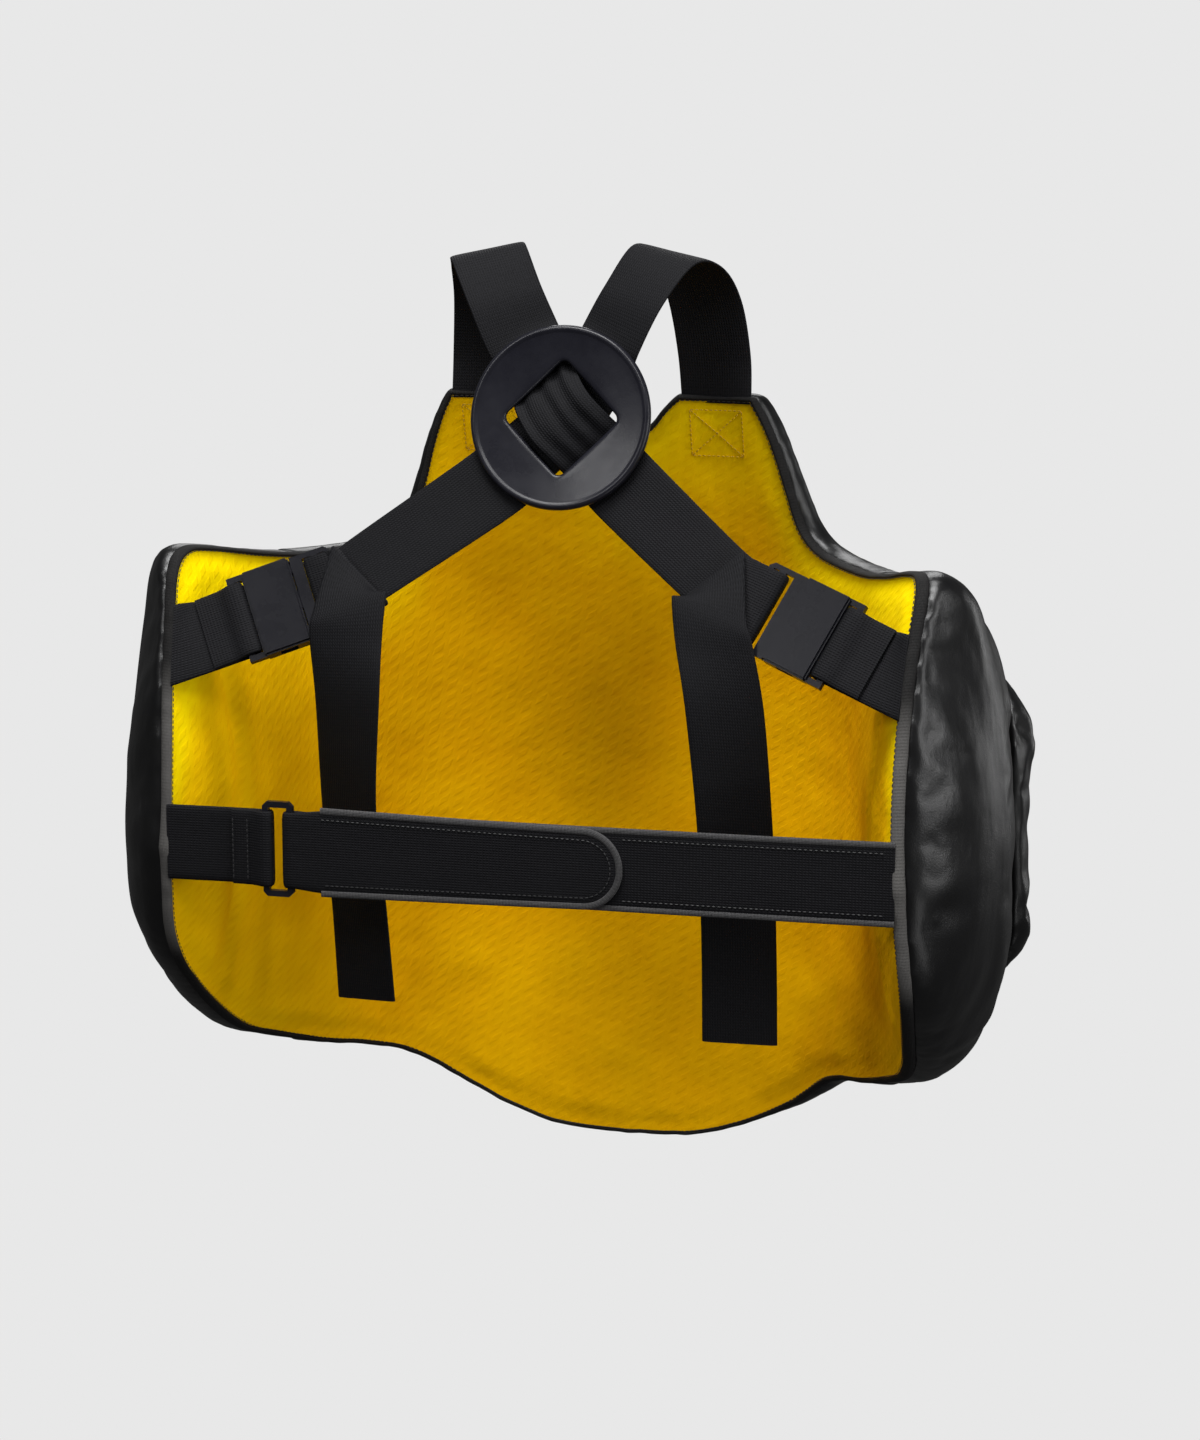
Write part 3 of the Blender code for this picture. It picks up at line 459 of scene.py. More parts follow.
def leather_material():
    n = Nodes("black_leather")
    place = n.object_place()
    cells = {"Vector": place, "Scale": 620.0}
    grain = n.add("ShaderNodeTexVoronoi", cells, feature="DISTANCE_TO_EDGE").outputs[0]
    pebble = n.ramp(grain, (0.0, 0.0), (0.18, 1.0))
    wrinkle = n.noise(n.scaled(place, (24, 24, 8)), 1.0, 3.0, 0.5)
    crumple = n.noise(place, 30.0, 3.0, 0.5)
    soft = n.bump(n.plus(wrinkle, n.times(crumple, 0.3)), 0.35, 0.006)
    normal = n.bump(pebble, 0.10, 0.0005, soft)
    worn = n.noise(place, 9.0, 5.0, 0.6)
    wear = n.ramp(worn, (0.35, 0.0), (0.75, 1.0))
    colour = n.mix(wear, (0.0022, 0.0022, 0.0024), (0.0050, 0.0050, 0.0055))
    rough = n.ramp(n.noise(place, 15.0, 4.0, 0.6), (0.25, 0.30), (0.75, 0.42))
    return n.finish(Base_Color=colour, Roughness=rough, Normal=normal, Specular_IOR_Level=0.50)


def lining_material():
    """Yellow fabric with an embossed pattern of short slanted dashes."""
    n = Nodes("yellow_lining")
    flat = n.flat_place()
    across = n.add("ShaderNodeSeparateXYZ", {0: flat})
    turned = n.add("ShaderNodeSeparateXYZ", {0: n.scaled(flat, (1, 1, 1), DASH_TURN)})
    u, v = turned.outputs[0], turned.outputs[1]
    row = n.math("DIVIDE", v, DASH_PITCH[1])
    row_number = n.math("FLOOR", row)
    shifted = n.minus(n.math("DIVIDE", u, DASH_PITCH[0]), n.times(row_number, DASH_SHIFT))
    leaned = n.minus(shifted, n.times(n.math("FRACT", row), DASH_SLANT))
    cell_u = n.math("ABSOLUTE", n.minus(n.math("FRACT", leaned), 0.5))
    cell_v = n.math("ABSOLUTE", n.minus(n.math("FRACT", row), 0.5))
    in_u = n.ramp(cell_u, (0.26, 1.0), (0.34, 0.0))
    in_v = n.ramp(cell_v, (0.20, 1.0), (0.30, 0.0))
    dash = n.times(in_u, in_v)
    weave_u = n.math("SINE", n.times(across.outputs[0], LINING_WEAVE))
    weave_v = n.math("SINE", n.times(across.outputs[1], LINING_WEAVE))
    weave = n.times(weave_u, weave_v)
    cloudy = n.noise(n.scaled(flat, (16, 16, 1)), 1.0, 4.0, 0.55)
    mottled = n.noise(n.scaled(flat, (70, 70, 1)), 1.0, 3.0, 0.6)
    soft = n.bump(n.plus(cloudy, n.times(mottled, 0.35)), 0.45, 0.004)
    pressed = n.bump(dash, 0.25, 0.0008, soft)
    normal = n.bump(weave, 0.10, 0.0003, pressed)
    colour = n.mix(n.ramp(cloudy, (0.3, 0.0), (0.7, 1.0)), (0.86, 0.435, 0.0), (0.92, 0.505, 0.0))
    # Painted light: the pale share mixes in a lighter lemon yellow where light falls on the lining, along
    # the upper edges of the wings and tabs and over the left wing.
    pale = n.share("pale")
    colour = n.mix(n.times(pale, 0.8), colour, (1.0, 0.800, 0.0))
    colour = n.mix(n.times(dash, 0.09), colour, (0.72, 0.300, 0.0))
    return n.finish(Base_Color=colour, Roughness=0.85, Normal=normal, Specular_IOR_Level=0.04)


def webbing_material(name, colour, bright, rib=WEBBING_RIB, painted_highlight=None):
    n = Nodes(name)
    flat = n.flat_place()
    parts = n.add("ShaderNodeSeparateXYZ", {0: flat})
    u, v = parts.outputs[0], parts.outputs[1]
    ribs = n.math("SINE", n.times(v, 2 * math.pi / rib))
    twill = n.math("SINE", n.plus(n.times(u, TWILL), n.times(ribs, 1.4)))
    weave = n.plus(n.times(ribs, 0.6), n.times(twill, 0.5))
    fuzz = n.noise(n.scaled(flat, (420, 900, 1)), 1.0, 3.0, 0.7)
    slack = n.noise(n.scaled(flat, (22, 30, 1)), 1.0, 3.0, 0.5)
    normal = n.bump(slack, 0.35, 0.003)
    normal = n.bump(n.plus(weave, n.times(fuzz, 0.6)), 0.5, 0.00035, normal)
    tone = n.plus(n.times(weave, 0.22), n.times(fuzz, 0.8))
    shade = n.mix(n.ramp(tone, (0.15, 0.0), (0.75, 1.0)), colour, bright)
    # Painted highlight: where the pale share is set, a lighter grey stands in for light caught on the
    # binding's rear edges.
    if painted_highlight:
        pale = n.share("pale")
        shade = n.mix(pale, shade, n.mix(tone, tuple(c * 0.6 for c in painted_highlight), painted_highlight))
    return n.finish(Base_Color=shade, Roughness=0.72, Normal=normal, Specular_IOR_Level=0.14)


def plastic_material(name, dark, light, shine):
    n = Nodes(name)
    place = n.object_place()
    scuff = n.noise(place, 42.0, 5.0, 0.65)
    fine = n.noise(place, 900.0, 2.0, 0.5)
    rough = n.ramp(scuff, (0.3, 0.24), (0.8, 0.36))
    normal = n.bump(fine, 0.10, 0.0003, n.bump(scuff, 0.04, 0.001))
    colour = n.mix(scuff, dark, light)
    return n.finish(Base_Color=colour, Roughness=rough, Normal=normal, Specular_IOR_Level=shine)


def thread_material(name, colour):
    n = Nodes(name)
    place = n.object_place()
    strand = n.noise(place, 1400.0, 2.0, 0.5)
    shade = n.mix(strand, tuple(c * 0.75 for c in colour), colour)
    return n.finish(Base_Color=shade, Roughness=0.6, Normal=n.bump(strand, 0.3, 0.0002))


MATERIALS = {
    "leather": leather_material(),
    "lining": lining_material(),
    # The binding's last colour is its painted highlight, a lighter grey for its rear edges.
    "binding": webbing_material(
        "grey_binding", (0.006, 0.006, 0.006), (0.020, 0.019, 0.019), TAPE_RIB, (0.13, 0.125, 0.12)
    ),
    "grey_edging": webbing_material("grey_edging", (0.030, 0.030, 0.031), (0.085, 0.083, 0.085), TAPE_RIB),
    "webbing": webbing_material("black_webbing", (0.0022, 0.0022, 0.0028), (0.0095, 0.0095, 0.0115)),
    "plastic": plastic_material("black_plastic", (0.006, 0.006, 0.009), (0.013, 0.013, 0.018), 0.26),
    "buckle": plastic_material("dull_plastic", (0.004, 0.004, 0.006), (0.009, 0.009, 0.012), 0.12),
    "yellow_thread": thread_material("yellow_thread", (0.62, 0.36, 0.004)),
    "black_thread": thread_material("black_thread", (0.014, 0.014, 0.015)),
}


# Meshes


def make(name, points, faces, finish, flat=None, sharp=70, held=None):
    """A piece that rides with the part, with its flat layout in metres as its UV map."""
    mesh = bpy.data.meshes.new(name)
    mesh.from_pydata(np.asarray(points, float).tolist(), [], [tuple(int(i) for i in f) for f in faces])
    if flat is not None:
        layer = mesh.uv_layers.new(name="flat")
        corners = np.empty(len(mesh.loops), np.int32)
        mesh.loops.foreach_get("vertex_index", corners)
        layer.data.foreach_set("uv", np.asarray(flat, np.float32)[corners].ravel())
    bm = bmesh.new()
    bm.from_mesh(mesh)
    bmesh.ops.recalc_face_normals(bm, faces=bm.faces)
    bm.to_mesh(mesh)
    bm.free()
    if held is not None:
        mesh = filled(mesh, held)
    mesh.shade_smooth()
    mesh.set_sharp_from_angle(angle=math.radians(sharp))
    made = bpy.data.objects.new(name, mesh)
    link(made)
    mesh.materials.append(MATERIALS[finish])
    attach(made, "root")
    return made


# Filling of the pads, and the cloth's stiffness
VOXEL = 0.0055
FILL_CAP = 0.006
FILL_FRAMES = 20
CLOTH = {
    "quality": 5, "mass": 0.3, "tension_stiffness": 20, "compression_stiffness": 12, "shear_stiffness": 4,
    "bending_stiffness": 1.5, "shrink_min": -0.004, "use_pressure": True, "uniform_pressure_force": 4.0,
    "vertex_group_mass": "held",
}


def points_of(mesh):
    places = np.empty(len(mesh.vertices) * 3, np.float32)
    mesh.vertices.foreach_get("co", places)
    return places.reshape(-1, 3)


def applied(mesh, name, kind, **settings):
    """The mesh that a modifier makes of this one."""
    holder = bpy.data.objects.new("filling", mesh)
    link(holder)
    modifier = holder.modifiers.new(name, kind)
    for setting, value in settings.items():
        setattr(modifier, setting, value)
    graph = bpy.context.evaluated_depsgraph_get()
    made = bpy.data.meshes.new_from_object(holder.evaluated_get(graph), depsgraph=graph)
    bpy.data.objects.remove(holder)
    return made


def filled(mesh, held):
    """The piece blown out like a stuffed cushion. Held is 1 at its points that stay and 0 at free ones."""
    first = points_of(mesh)
    nearest = KDTree(len(first))
    for index, place in enumerate(first):
        nearest.insert(place, index)
    nearest.balance()
    tree = BVHTree.FromPolygons(first.tolist(), [tuple(f.vertices) for f in mesh.polygons])
    even = applied(mesh, "even", "REMESH", mode="VOXEL", voxel_size=VOXEL)
    start = np.array([tree.find_nearest(place)[0] for place in points_of(even).tolist()])
    even.vertices.foreach_set("co", start.astype(np.float32).ravel())
    stay = np.array([held[nearest.find(place)[1]] for place in start.tolist()])
    holder = bpy.data.objects.new("filling", even)
    link(holder)
    group = holder.vertex_groups.new(name="held")
    for index, weight in enumerate(stay.tolist()):
        group.add([index], weight, "REPLACE")
    cloth = holder.modifiers.new("fill", "CLOTH")
    for setting, value in CLOTH.items():
        setattr(cloth.settings, setting, value)
    cloth.settings.effector_weights.gravity = 0
    cloth.collision_settings.use_collision = False
    cloth.collision_settings.use_self_collision = False
    cloth.point_cache.frame_start = 1
    cloth.point_cache.frame_end = FILL_FRAMES
    for number in range(1, FILL_FRAMES + 1):
        bpy.context.scene.frame_set(number)
    graph = bpy.context.evaluated_depsgraph_get()
    blown = points_of(bpy.data.meshes.new_from_object(holder.evaluated_get(graph), depsgraph=graph))
    bpy.data.objects.remove(holder)
    bpy.context.scene.frame_set(1)
    move = blown - start
    length = np.maximum(np.linalg.norm(move, axis=1), 1e-9)
    move *= (np.minimum(1, FILL_CAP / length) * (1 - stay))[:, None]
    even.vertices.foreach_set("co", (start + move).astype(np.float32).ravel())
    name = mesh.name
    smooth = applied(even, "smooth", "SUBSURF", levels=1, render_levels=1)
    mesh.name = name + "_start"
    smooth.name = name
    return smooth


def border(across, up):
    """Places round the edge of a grid, in order."""
    places = [(i, 0) for i in range(across)]
    places += [(across - 1, j) for j in range(1, up)]
    places += [(i, up - 1) for i in range(across - 2, -1, -1)]
    places += [(0, j) for j in range(up - 2, 0, -1)]
    return places


def slab(name, under, over, flat, finish, bulge=0.0, steps=0, sharp=70, held=None):
    """A closed solid between two grids of points, whose wall may bulge past its edge."""
    across, up = under.shape[:2]
    grid = np.arange(across * up).reshape(across, up)
    quads = np.stack([grid[:-1, :-1], grid[1:, :-1], grid[1:, 1:], grid[:-1, 1:]], -1).reshape(-1, 4)
    count = across * up
    faces = [quads[:, ::-1], quads + count]
    points = [under.reshape(-1, 3), over.reshape(-1, 3)]
    flats = [flat.reshape(-1, 2)] * 2
    edge = border(across, up)
    stays = None if held is None else [np.ones(count), held.ravel()]
    low, high = np.array([under[p] for p in edge]), np.array([over[p] for p in edge])
    run = np.roll(high, -1, 0) - np.roll(high, 1, 0)
    away = np.cross(run, high - low)
    for _ in range(3):
        away = (np.roll(away, 1, 0) + away + np.roll(away, -1, 0)) / 3
    away /= np.maximum(np.linalg.norm(away, axis=1), 1e-9)[:, None]
    middle = over.reshape(-1, 3).mean(0)
    if ((high - middle) * away).sum() < 0:
        away = -away
    rings = [np.array([grid[p] for p in edge])]
    for step in range(1, steps + 1):
        share = step / (steps + 1)
        rings.append(2 * count + np.arange(len(edge)) + (step - 1) * len(edge))
        points.append(low + (high - low) * share + away * bulge * math.sin(math.pi * share))
        flats.append(np.array([flat[p] for p in edge]))
        if held is not None:
            fixed = np.array([held[p] for p in edge])
            stays.append(np.maximum(fixed, 1 - math.sin(math.pi / 2 * share)))
    rings.append(rings[0] + count)
    for first, second in zip(rings, rings[1:]):
        faces.append(np.stack([first, np.roll(first, -1), np.roll(second, -1), second], -1))
    stays = None if held is None else np.concatenate(stays)
    return make(name, np.vstack(points), np.vstack(faces), finish, np.vstack(flats), sharp, stays)


def held_places(arc, z):
    """Where a pad is held: at the crease, and, where the belly pad lies on it, under that pad."""
    crease = 1 - smoothstep((abs(abs(arc) - CREASE_ARC) - 0.004) / 0.012)
    top = TAB_TOP_Z - BELLY_TOP
    past = np.maximum(abs(arc) - BELLY_HALF_ARC, 0)
    past = np.maximum(past, np.maximum(z - top, top - BELLY_HEIGHT - z))
    return np.maximum(crease, 1 - smoothstep((past - 0.002) / 0.014))


def add_shares(made, name, values):
    """A number for each point of a piece, which its material reads by name."""
    layer = made.data.attributes.new(name, "FLOAT", "POINT")
    layer.data.foreach_set("value", np.clip(values, 0, 1).astype(np.float32))


def fine_columns(start, end, middle=150, rear=42):
    """Arcs of a layer's columns, closer together near the rear edges."""
    wing = REAR - TURN_END
    half = np.concatenate([
        np.linspace(0, TURN_END, middle // 2)[:-1],
        REAR - wing * (1 - np.sin(np.linspace(0, math.pi / 2, rear))),
    ])
    every = np.concatenate([-half[:0:-1], half])
    inside = every[(every > start + 5e-4) & (every < end - 5e-4)]
    return np.concatenate([[start], inside, [end]])


def row_shares(rows):
    return (1 - np.cos(np.linspace(0, math.pi, rows + 1))) / 2


def clear_of_edge(arcs, near, far, inset):
    """The last heights on the way from near to far that stay in from the outline."""
    for _ in range(14):
        half = (near + far) / 2
        clear = edge_places(arcs, half)[0] >= inset
        near = np.where(clear, half, near)
        far = np.where(clear, far, half)
    return near


def layer_places(arcs, rows, low=None, high=None, inset=0.0):
    """Arc and height of each point of a layer's grid, with its ends in from the outline."""
    low = lower_z(arcs) if low is None else low
    high = upper_z(arcs) if high is None else high
    if inset > 0:
        middle = (low + high) / 2
        low, high = (clear_of_edge(arcs, middle, end, inset) for end in (low, high))
    heights = low[:, None] + (high - low)[:, None] * row_shares(rows)
    return np.repeat(arcs[:, None], rows + 1, 1), heights


def rounded(distance, reach):
    """Grows from 0 at an edge to 1 at the reach from it, as a cushion's side does."""
    return (1 - (1 - np.clip(distance / reach, 0.0, 1.0)) ** 2) ** SWELL_POWER


def build_lining():
    inset = LINING_INSET
    arcs = fine_columns(inset - REAR, REAR - inset)
    arc, z = layer_places(arcs, LAYER_ROWS, inset=inset)
    inward, _ = edge_places(arc, z)
    soft = smoothstep((inward - BINDING_W) / 0.014)
    wave = 0.0011 * drift(arc * 22 + 7, z * 16 + 3, 5) + 0.0006 * drift(arc * 60 + 2, z * 52 + 9, 6)
    crease = np.exp(-((abs(arc) - FOLD_ARC + 0.002) / 0.0042) ** 2)
    crease *= smoothstep((z + 0.52) / 0.08) * smoothstep((-0.225 - z) / 0.05)
    beside = np.exp(-((abs(arc) - FOLD_ARC - 0.012) / 0.007) ** 2)
    beside = beside + np.exp(-((abs(arc) - FOLD_ARC + 0.017) / 0.008) ** 2)
    seam_x = 0.166 + (z - lower_z(arc)) * 0.35
    seam = np.exp(-((abs(arc) - seam_x) / 0.0022) ** 2) * smoothstep((0.085 - (z - lower_z(arc))) / 0.03)
    raised = 0.0010 * beside * smoothstep((-0.24 - z) / 0.04)
    relief = soft * (0.0014 + wave - 0.0030 * crease + raised - 0.0012 * seam)
    puckers = drift(arc * 150, z * 20, 8) * np.exp(-inward / 0.012) * 0.0005
    under = body_points(arc, z, LINING_T)
    over = body_points(arc, z, -relief - puckers * soft)
    made = slab("lining_cloth", under, over, np.stack([arc, z], -1), "lining")
    # Painted light: the pale share lightens the lining towards lemon yellow along the upper edges of the
    # wings and tabs and over the left wing, where light falls on them.
    below = upper_z(arc) - z
    wing = smoothstep((abs(arc) - 0.10) / 0.10)
    pale = wing * (1 - smoothstep((below - 0.004) / 0.085)) * np.where(arc < 0, 1.0, 0.95)
    pale += 0.30 * smoothstep((-0.15 - arc) / 0.12) + 0.12 * smoothstep((arc - 0.2) / 0.1)
    pale += (1 - wing) * np.where(arc > 0, 0.7, 0.3) * (1 - smoothstep(below / 0.11))
    add_shares(made, "pale", np.concatenate([pale.ravel(), pale.ravel()]))
    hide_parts("lining")


FIELD_STEP = 0.002
FIELD_ARC = np.arange(-0.44, 0.44, FIELD_STEP)
FIELD_Z = np.arange(-0.67, -0.07, FIELD_STEP)
FIELD = edge_places(FIELD_ARC[:, None], FIELD_Z[None])[0]


def field_at(arc, z):
    """Distance in from the outline, read between the places of FIELD."""
    u = np.clip((arc - FIELD_ARC[0]) / FIELD_STEP, 0, len(FIELD_ARC) - 1.001)
    v = np.clip((z - FIELD_Z[0]) / FIELD_STEP, 0, len(FIELD_Z) - 1.001)
    i, j = u.astype(int), v.astype(int)
    u, v = u - i, v - j
    near = FIELD[i, j] * (1 - u) + FIELD[i + 1, j] * u
    far = FIELD[i, j + 1] * (1 - u) + FIELD[i + 1, j + 1] * u
    return near * (1 - v) + far * v


def soft_edge_places(arc, z):
    """The same as edge_places, with no ridge where two sides of the outline are as near."""
    inward, round_it = edge_places(arc, z)
    total = inward.copy()
    for angle in np.arange(12) * math.pi / 6:
        reach = 0.66 * inward
        total += field_at(arc + reach * math.cos(angle), z + reach * math.sin(angle))
    return total / 13, round_it


def leather_relief(arc, z, inward, round_it, seed, amount=1.0):
    """Folds and puckers of leather stretched over foam."""
    folds = 0.0016 * drift(arc * 30 + seed, z * 9, seed) + 0.0008 * drift(arc * 70, z * 24, seed + 1)
    pucker = 0.0016 * drift(round_it * 62, inward * 9, seed + 2) * np.exp(-inward / 0.020)
    tuck = 0.0007 * drift(round_it * 150, inward * 20, seed + 3) * np.exp(-inward / 0.012)
    calm = smoothstep(inward / 0.004)
    return amount * (folds * calm + (pucker + tuck) * calm)


def fold_lines(arc, z, lines):
    """Relief of soft folds along lines of (start arc, start z, end arc, end z, half width, depth)."""
    relief = np.zeros(np.broadcast(arc, z).shape)
    for start_arc, start_z, end_arc, end_z, reach, depth in lines:
        run = np.array((end_arc - start_arc, end_z - start_z))
        share = ((arc - start_arc) * run[0] + (z - start_z) * run[1]) / (run @ run)
        bow = 0.12 * np.linalg.norm(run) * np.sin(np.clip(share, 0, 1) * math.pi)
        across = ((arc - start_arc) * run[1] - (z - start_z) * run[0]) / np.linalg.norm(run) + bow
        ends = smoothstep(share / 0.25) * smoothstep((1 - share) / 0.35)
        valley = np.exp(-((across / reach) ** 2))
        lip = np.exp(-(((across - 1.7 * reach) / (1.1 * reach)) ** 2))
        relief += ends * depth * (0.6 * lip - valley)
    return relief


SIDE_FOLDS = (
    (0.398, -0.222, 0.342, -0.240, 0.0040, 0.0022), (0.396, -0.232, 0.356, -0.262, 0.0034, 0.0018),
    (0.390, -0.214, 0.330, -0.219, 0.0036, 0.0018), (0.400, -0.262, 0.378, -0.290, 0.0034, 0.0012),
    (0.298, -0.215, 0.264, -0.335, 0.0080, 0.0026), (0.290, -0.268, 0.266, -0.425, 0.0085, 0.0032),
    (0.298, -0.405, 0.266, -0.515, 0.0075, 0.0026), (0.326, -0.520, 0.276, -0.484, 0.0070, 0.0022),
    (0.384, -0.516, 0.350, -0.482, 0.0050, 0.0018), (0.366, -0.536, 0.336, -0.502, 0.0045, 0.0016),
)
BELLY_FOLDS = (
    (0.247, -0.300, 0.200, -0.330, 0.0060, 0.0014), (0.249, -0.366, 0.206, -0.385, 0.0060, 0.0012),
    (0.249, -0.430, 0.202, -0.415, 0.0060, 0.0013), (0.244, -0.480, 0.196, -0.455, 0.0060, 0.0014),
    (0.150, -0.246, 0.120, -0.300, 0.0060, 0.0024), (0.060, -0.246, 0.048, -0.295, 0.0060, 0.0022),
    (0.105, -0.532, 0.092, -0.480, 0.0060, 0.0024), (0.020, -0.532, 0.030, -0.486, 0.0060, 0.0022),
)


def corner_share(arc, z):
    """Grows to 1 at the wings' upper rear corners, where the pads thin out."""
    return smoothstep((abs(arc) - TAPER_ARC) / TAPER_REACH) * smoothstep((z - TAPER_Z) / TAPER_REACH)


def edge_swell(arc, z, inward, full, reach):
    """Thickness of a pad that swells from its wall at the outline."""
    corner = corner_share(arc, z)
    wall = EDGE_T - WALL_TAPER * corner
    return wall + (full * (1 - SWELL_TAPER * corner) - wall) * rounded(inward, reach)


def creased(arc, full):
    """Thickness of a pad that thins towards the crease between front and sides."""
    return CREASE_T + (full - CREASE_T) * rounded(abs(abs(arc) - CREASE_ARC), CREASE_ROUND)


def soft_least(first, second, width=0.006):
    """The lesser of two thicknesses, blended where they meet."""
    share = np.clip(0.5 + (second - first) / (2 * width), 0, 1)
    return second + (first - second) * share - width * share * (1 - share)


def build_pad(name, node, arc, z, base, thick, bulge, steps, held):
    """A leather pad between two depths, blown out where it isn't held."""
    under, over = body_points(arc, z, base), body_points(arc, z, base + thick)
    made = slab(name, under, over, np.stack([arc, z], -1), "leather", bulge, steps, 180, held)
    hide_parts(node)


def build_front_pad():
    arcs = fine_columns(HALF_SEAM - CREASE_ARC, CREASE_ARC - HALF_SEAM, middle=190)
    arc, z = layer_places(arcs, LAYER_ROWS)
    inward, round_it = soft_edge_places(arc, z)
    chest = smoothstep((TAB_TOP_Z - CHEST_START - z) / CHEST_BLEND)
    full = TAB_PAD_T + (FRONT_PAD_T - TAB_PAD_T) * chest
    thick = soft_least(edge_swell(arc, z, inward, full, FRONT_ROUND), creased(arc, full))
    thick = thick + leather_relief(arc, z, inward, round_it, 11, 0.8) - 0.0016
    build_pad("front_leather", "front_pad", arc, z, PAD_INNER, thick, 0.0030, 5, held_places(arc, z))


def build_side_pad(side):
    arcs = fine_columns(CREASE_ARC + HALF_SEAM, REAR - 0.0006, middle=190, rear=64)
    arc, z = layer_places(arcs, LAYER_ROWS)
    arc = arc * side
    if side < 0:
        arc, z = arc[::-1], z[::-1]
    inward, round_it = soft_edge_places(arc, z)
    thick = soft_least(edge_swell(arc, z, inward, SIDE_PAD_T, SIDE_ROUND), creased(arc, SIDE_PAD_T), 0.008)
    seed = 23 if side > 0 else 37
    long_folds = 0.0022 * drift(arc * 42 + 3, z * 5 + seed, seed + 5) * smoothstep((inward - 0.01) / 0.03)
    moved = 1.0 if side < 0 else 0.0
    folds = fold_lines(abs(arc) + 0.004 * moved, z - 0.006 * moved, SIDE_FOLDS)
    thick = thick + leather_relief(arc, z, inward, round_it, seed, 1.1) + long_folds + folds - 0.0022
    names = named("side_leather", side), named("side_pad", side)
    build_pad(*names, arc, z, PAD_INNER, thick, 0.0020, 6, held_places(arc, z))


def build_belly_pad():
    half = BELLY_HALF_ARC - 0.001
    turned = np.linspace(-1, 1, 150)
    arcs = half * np.sin(turned * math.pi / 2) * 0.35 + half * turned * 0.65
    past = np.maximum(abs(arcs) - (BELLY_HALF_ARC - BELLY_CORNER), 0) / BELLY_CORNER
    cut = BELLY_CORNER * (1 - np.sqrt(np.maximum(1 - past**2, 0)))
    top = TAB_TOP_Z - BELLY_TOP
    low, high = top - BELLY_HEIGHT + cut, top - cut
    arc, z = layer_places(arcs, BELLY_ROWS, low, high)
    share = smoothstep((abs(arc) - BLEND_START) / (BLEND_END - BLEND_START))
    full = FRONT_PAD_T + (SIDE_PAD_T - FRONT_PAD_T) * share
    reach = FRONT_ROUND + (SIDE_ROUND - FRONT_ROUND) * share
    base = PAD_INNER + BELLY_GAP + edge_swell(arc, z, soft_edge_places(arc, z)[0], full, reach)
    inward = np.minimum(np.minimum(z - low[:, None], high[:, None] - z), BELLY_HALF_ARC - abs(arc))
    swell = BELLY_EDGE_T + (BELLY_PAD_T - BELLY_EDGE_T) * rounded(inward, BELLY_ROUND)
    around = np.arctan2(z - (low + high)[:, None] / 2, arc) * 0.25
    folds = fold_lines(abs(arc), z + 0.004 * np.sign(arc), BELLY_FOLDS)
    swell = swell + leather_relief(arc, z, inward, around, 51, 0.9) + folds - 0.0010
    build_pad("belly_leather", "belly_pad", arc, z, base, swell, 0.0020, 4, np.zeros(arc.shape))


def loop_frame(loop):
    """Inward directions of a closed loop of places, square to it."""
    ahead, behind = np.roll(loop, -1, 0), np.roll(loop, 1, 0)
    run = ahead - behind
    run /= np.linalg.norm(run, axis=1)[:, None]
    return np.stack([-run[:, 1], run[:, 0]], axis=1)


def build_binding():
    inward = loop_frame(OUTLINE)
    for _ in range(2):
        inward = (np.roll(inward, 1, 0) + 2 * inward + np.roll(inward, -1, 0)) / 4
    inward /= np.linalg.norm(inward, axis=1)[:, None]
    section = np.array((
        (0.0020, 0.0002), (0.0022, -0.0008), (0.0018, -0.0014), (0.0011, -0.0018), (0.0004, -0.0017),
        (-0.0003, -0.0011), (-0.0010, 0.0004), (-0.0014, 0.0022), (-0.0013, 0.0042), (-0.0007, 0.0058),
        (0.0004, 0.0066), (0.0018, 0.0060), (0.0020, 0.0030),
    ))
    lengths = lengths_along(section)
    ripple = 0.0004 * drift(OUTLINE_START * 120, OUTLINE_START * 0, 71)
    rings, flats = [], []
    for (inset, out), length in zip(section, lengths):
        places = OUTLINE + inward * (inset + ripple[:, None] * 0.6)
        rings.append(body_points(places[:, 0], places[:, 1], out + ripple * 0.5))
        flats.append(np.stack([OUTLINE_START, np.full(len(OUTLINE), length)], 1))
    count, around = len(section), len(OUTLINE)
    points = np.stack(rings, 1).reshape(-1, 3)
    index = np.arange(around * count).reshape(around, count)
    faces = tube_faces(index, np.roll(index, -1, 0))
    flat = np.stack(flats, 1).reshape(-1, 2)
    made = make("edge_tape", points, faces, "binding", flat)
    # Painted highlight: the pale share gives the binding's rear edges a lighter grey where they catch the
    # light.
    rear = smoothstep((abs(OUTLINE[:, 0]) - 0.375) / 0.018)
    add_shares(made, "pale", np.repeat(rear[:, None], count, 1).ravel())
    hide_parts("edge_binding")


# Webbing


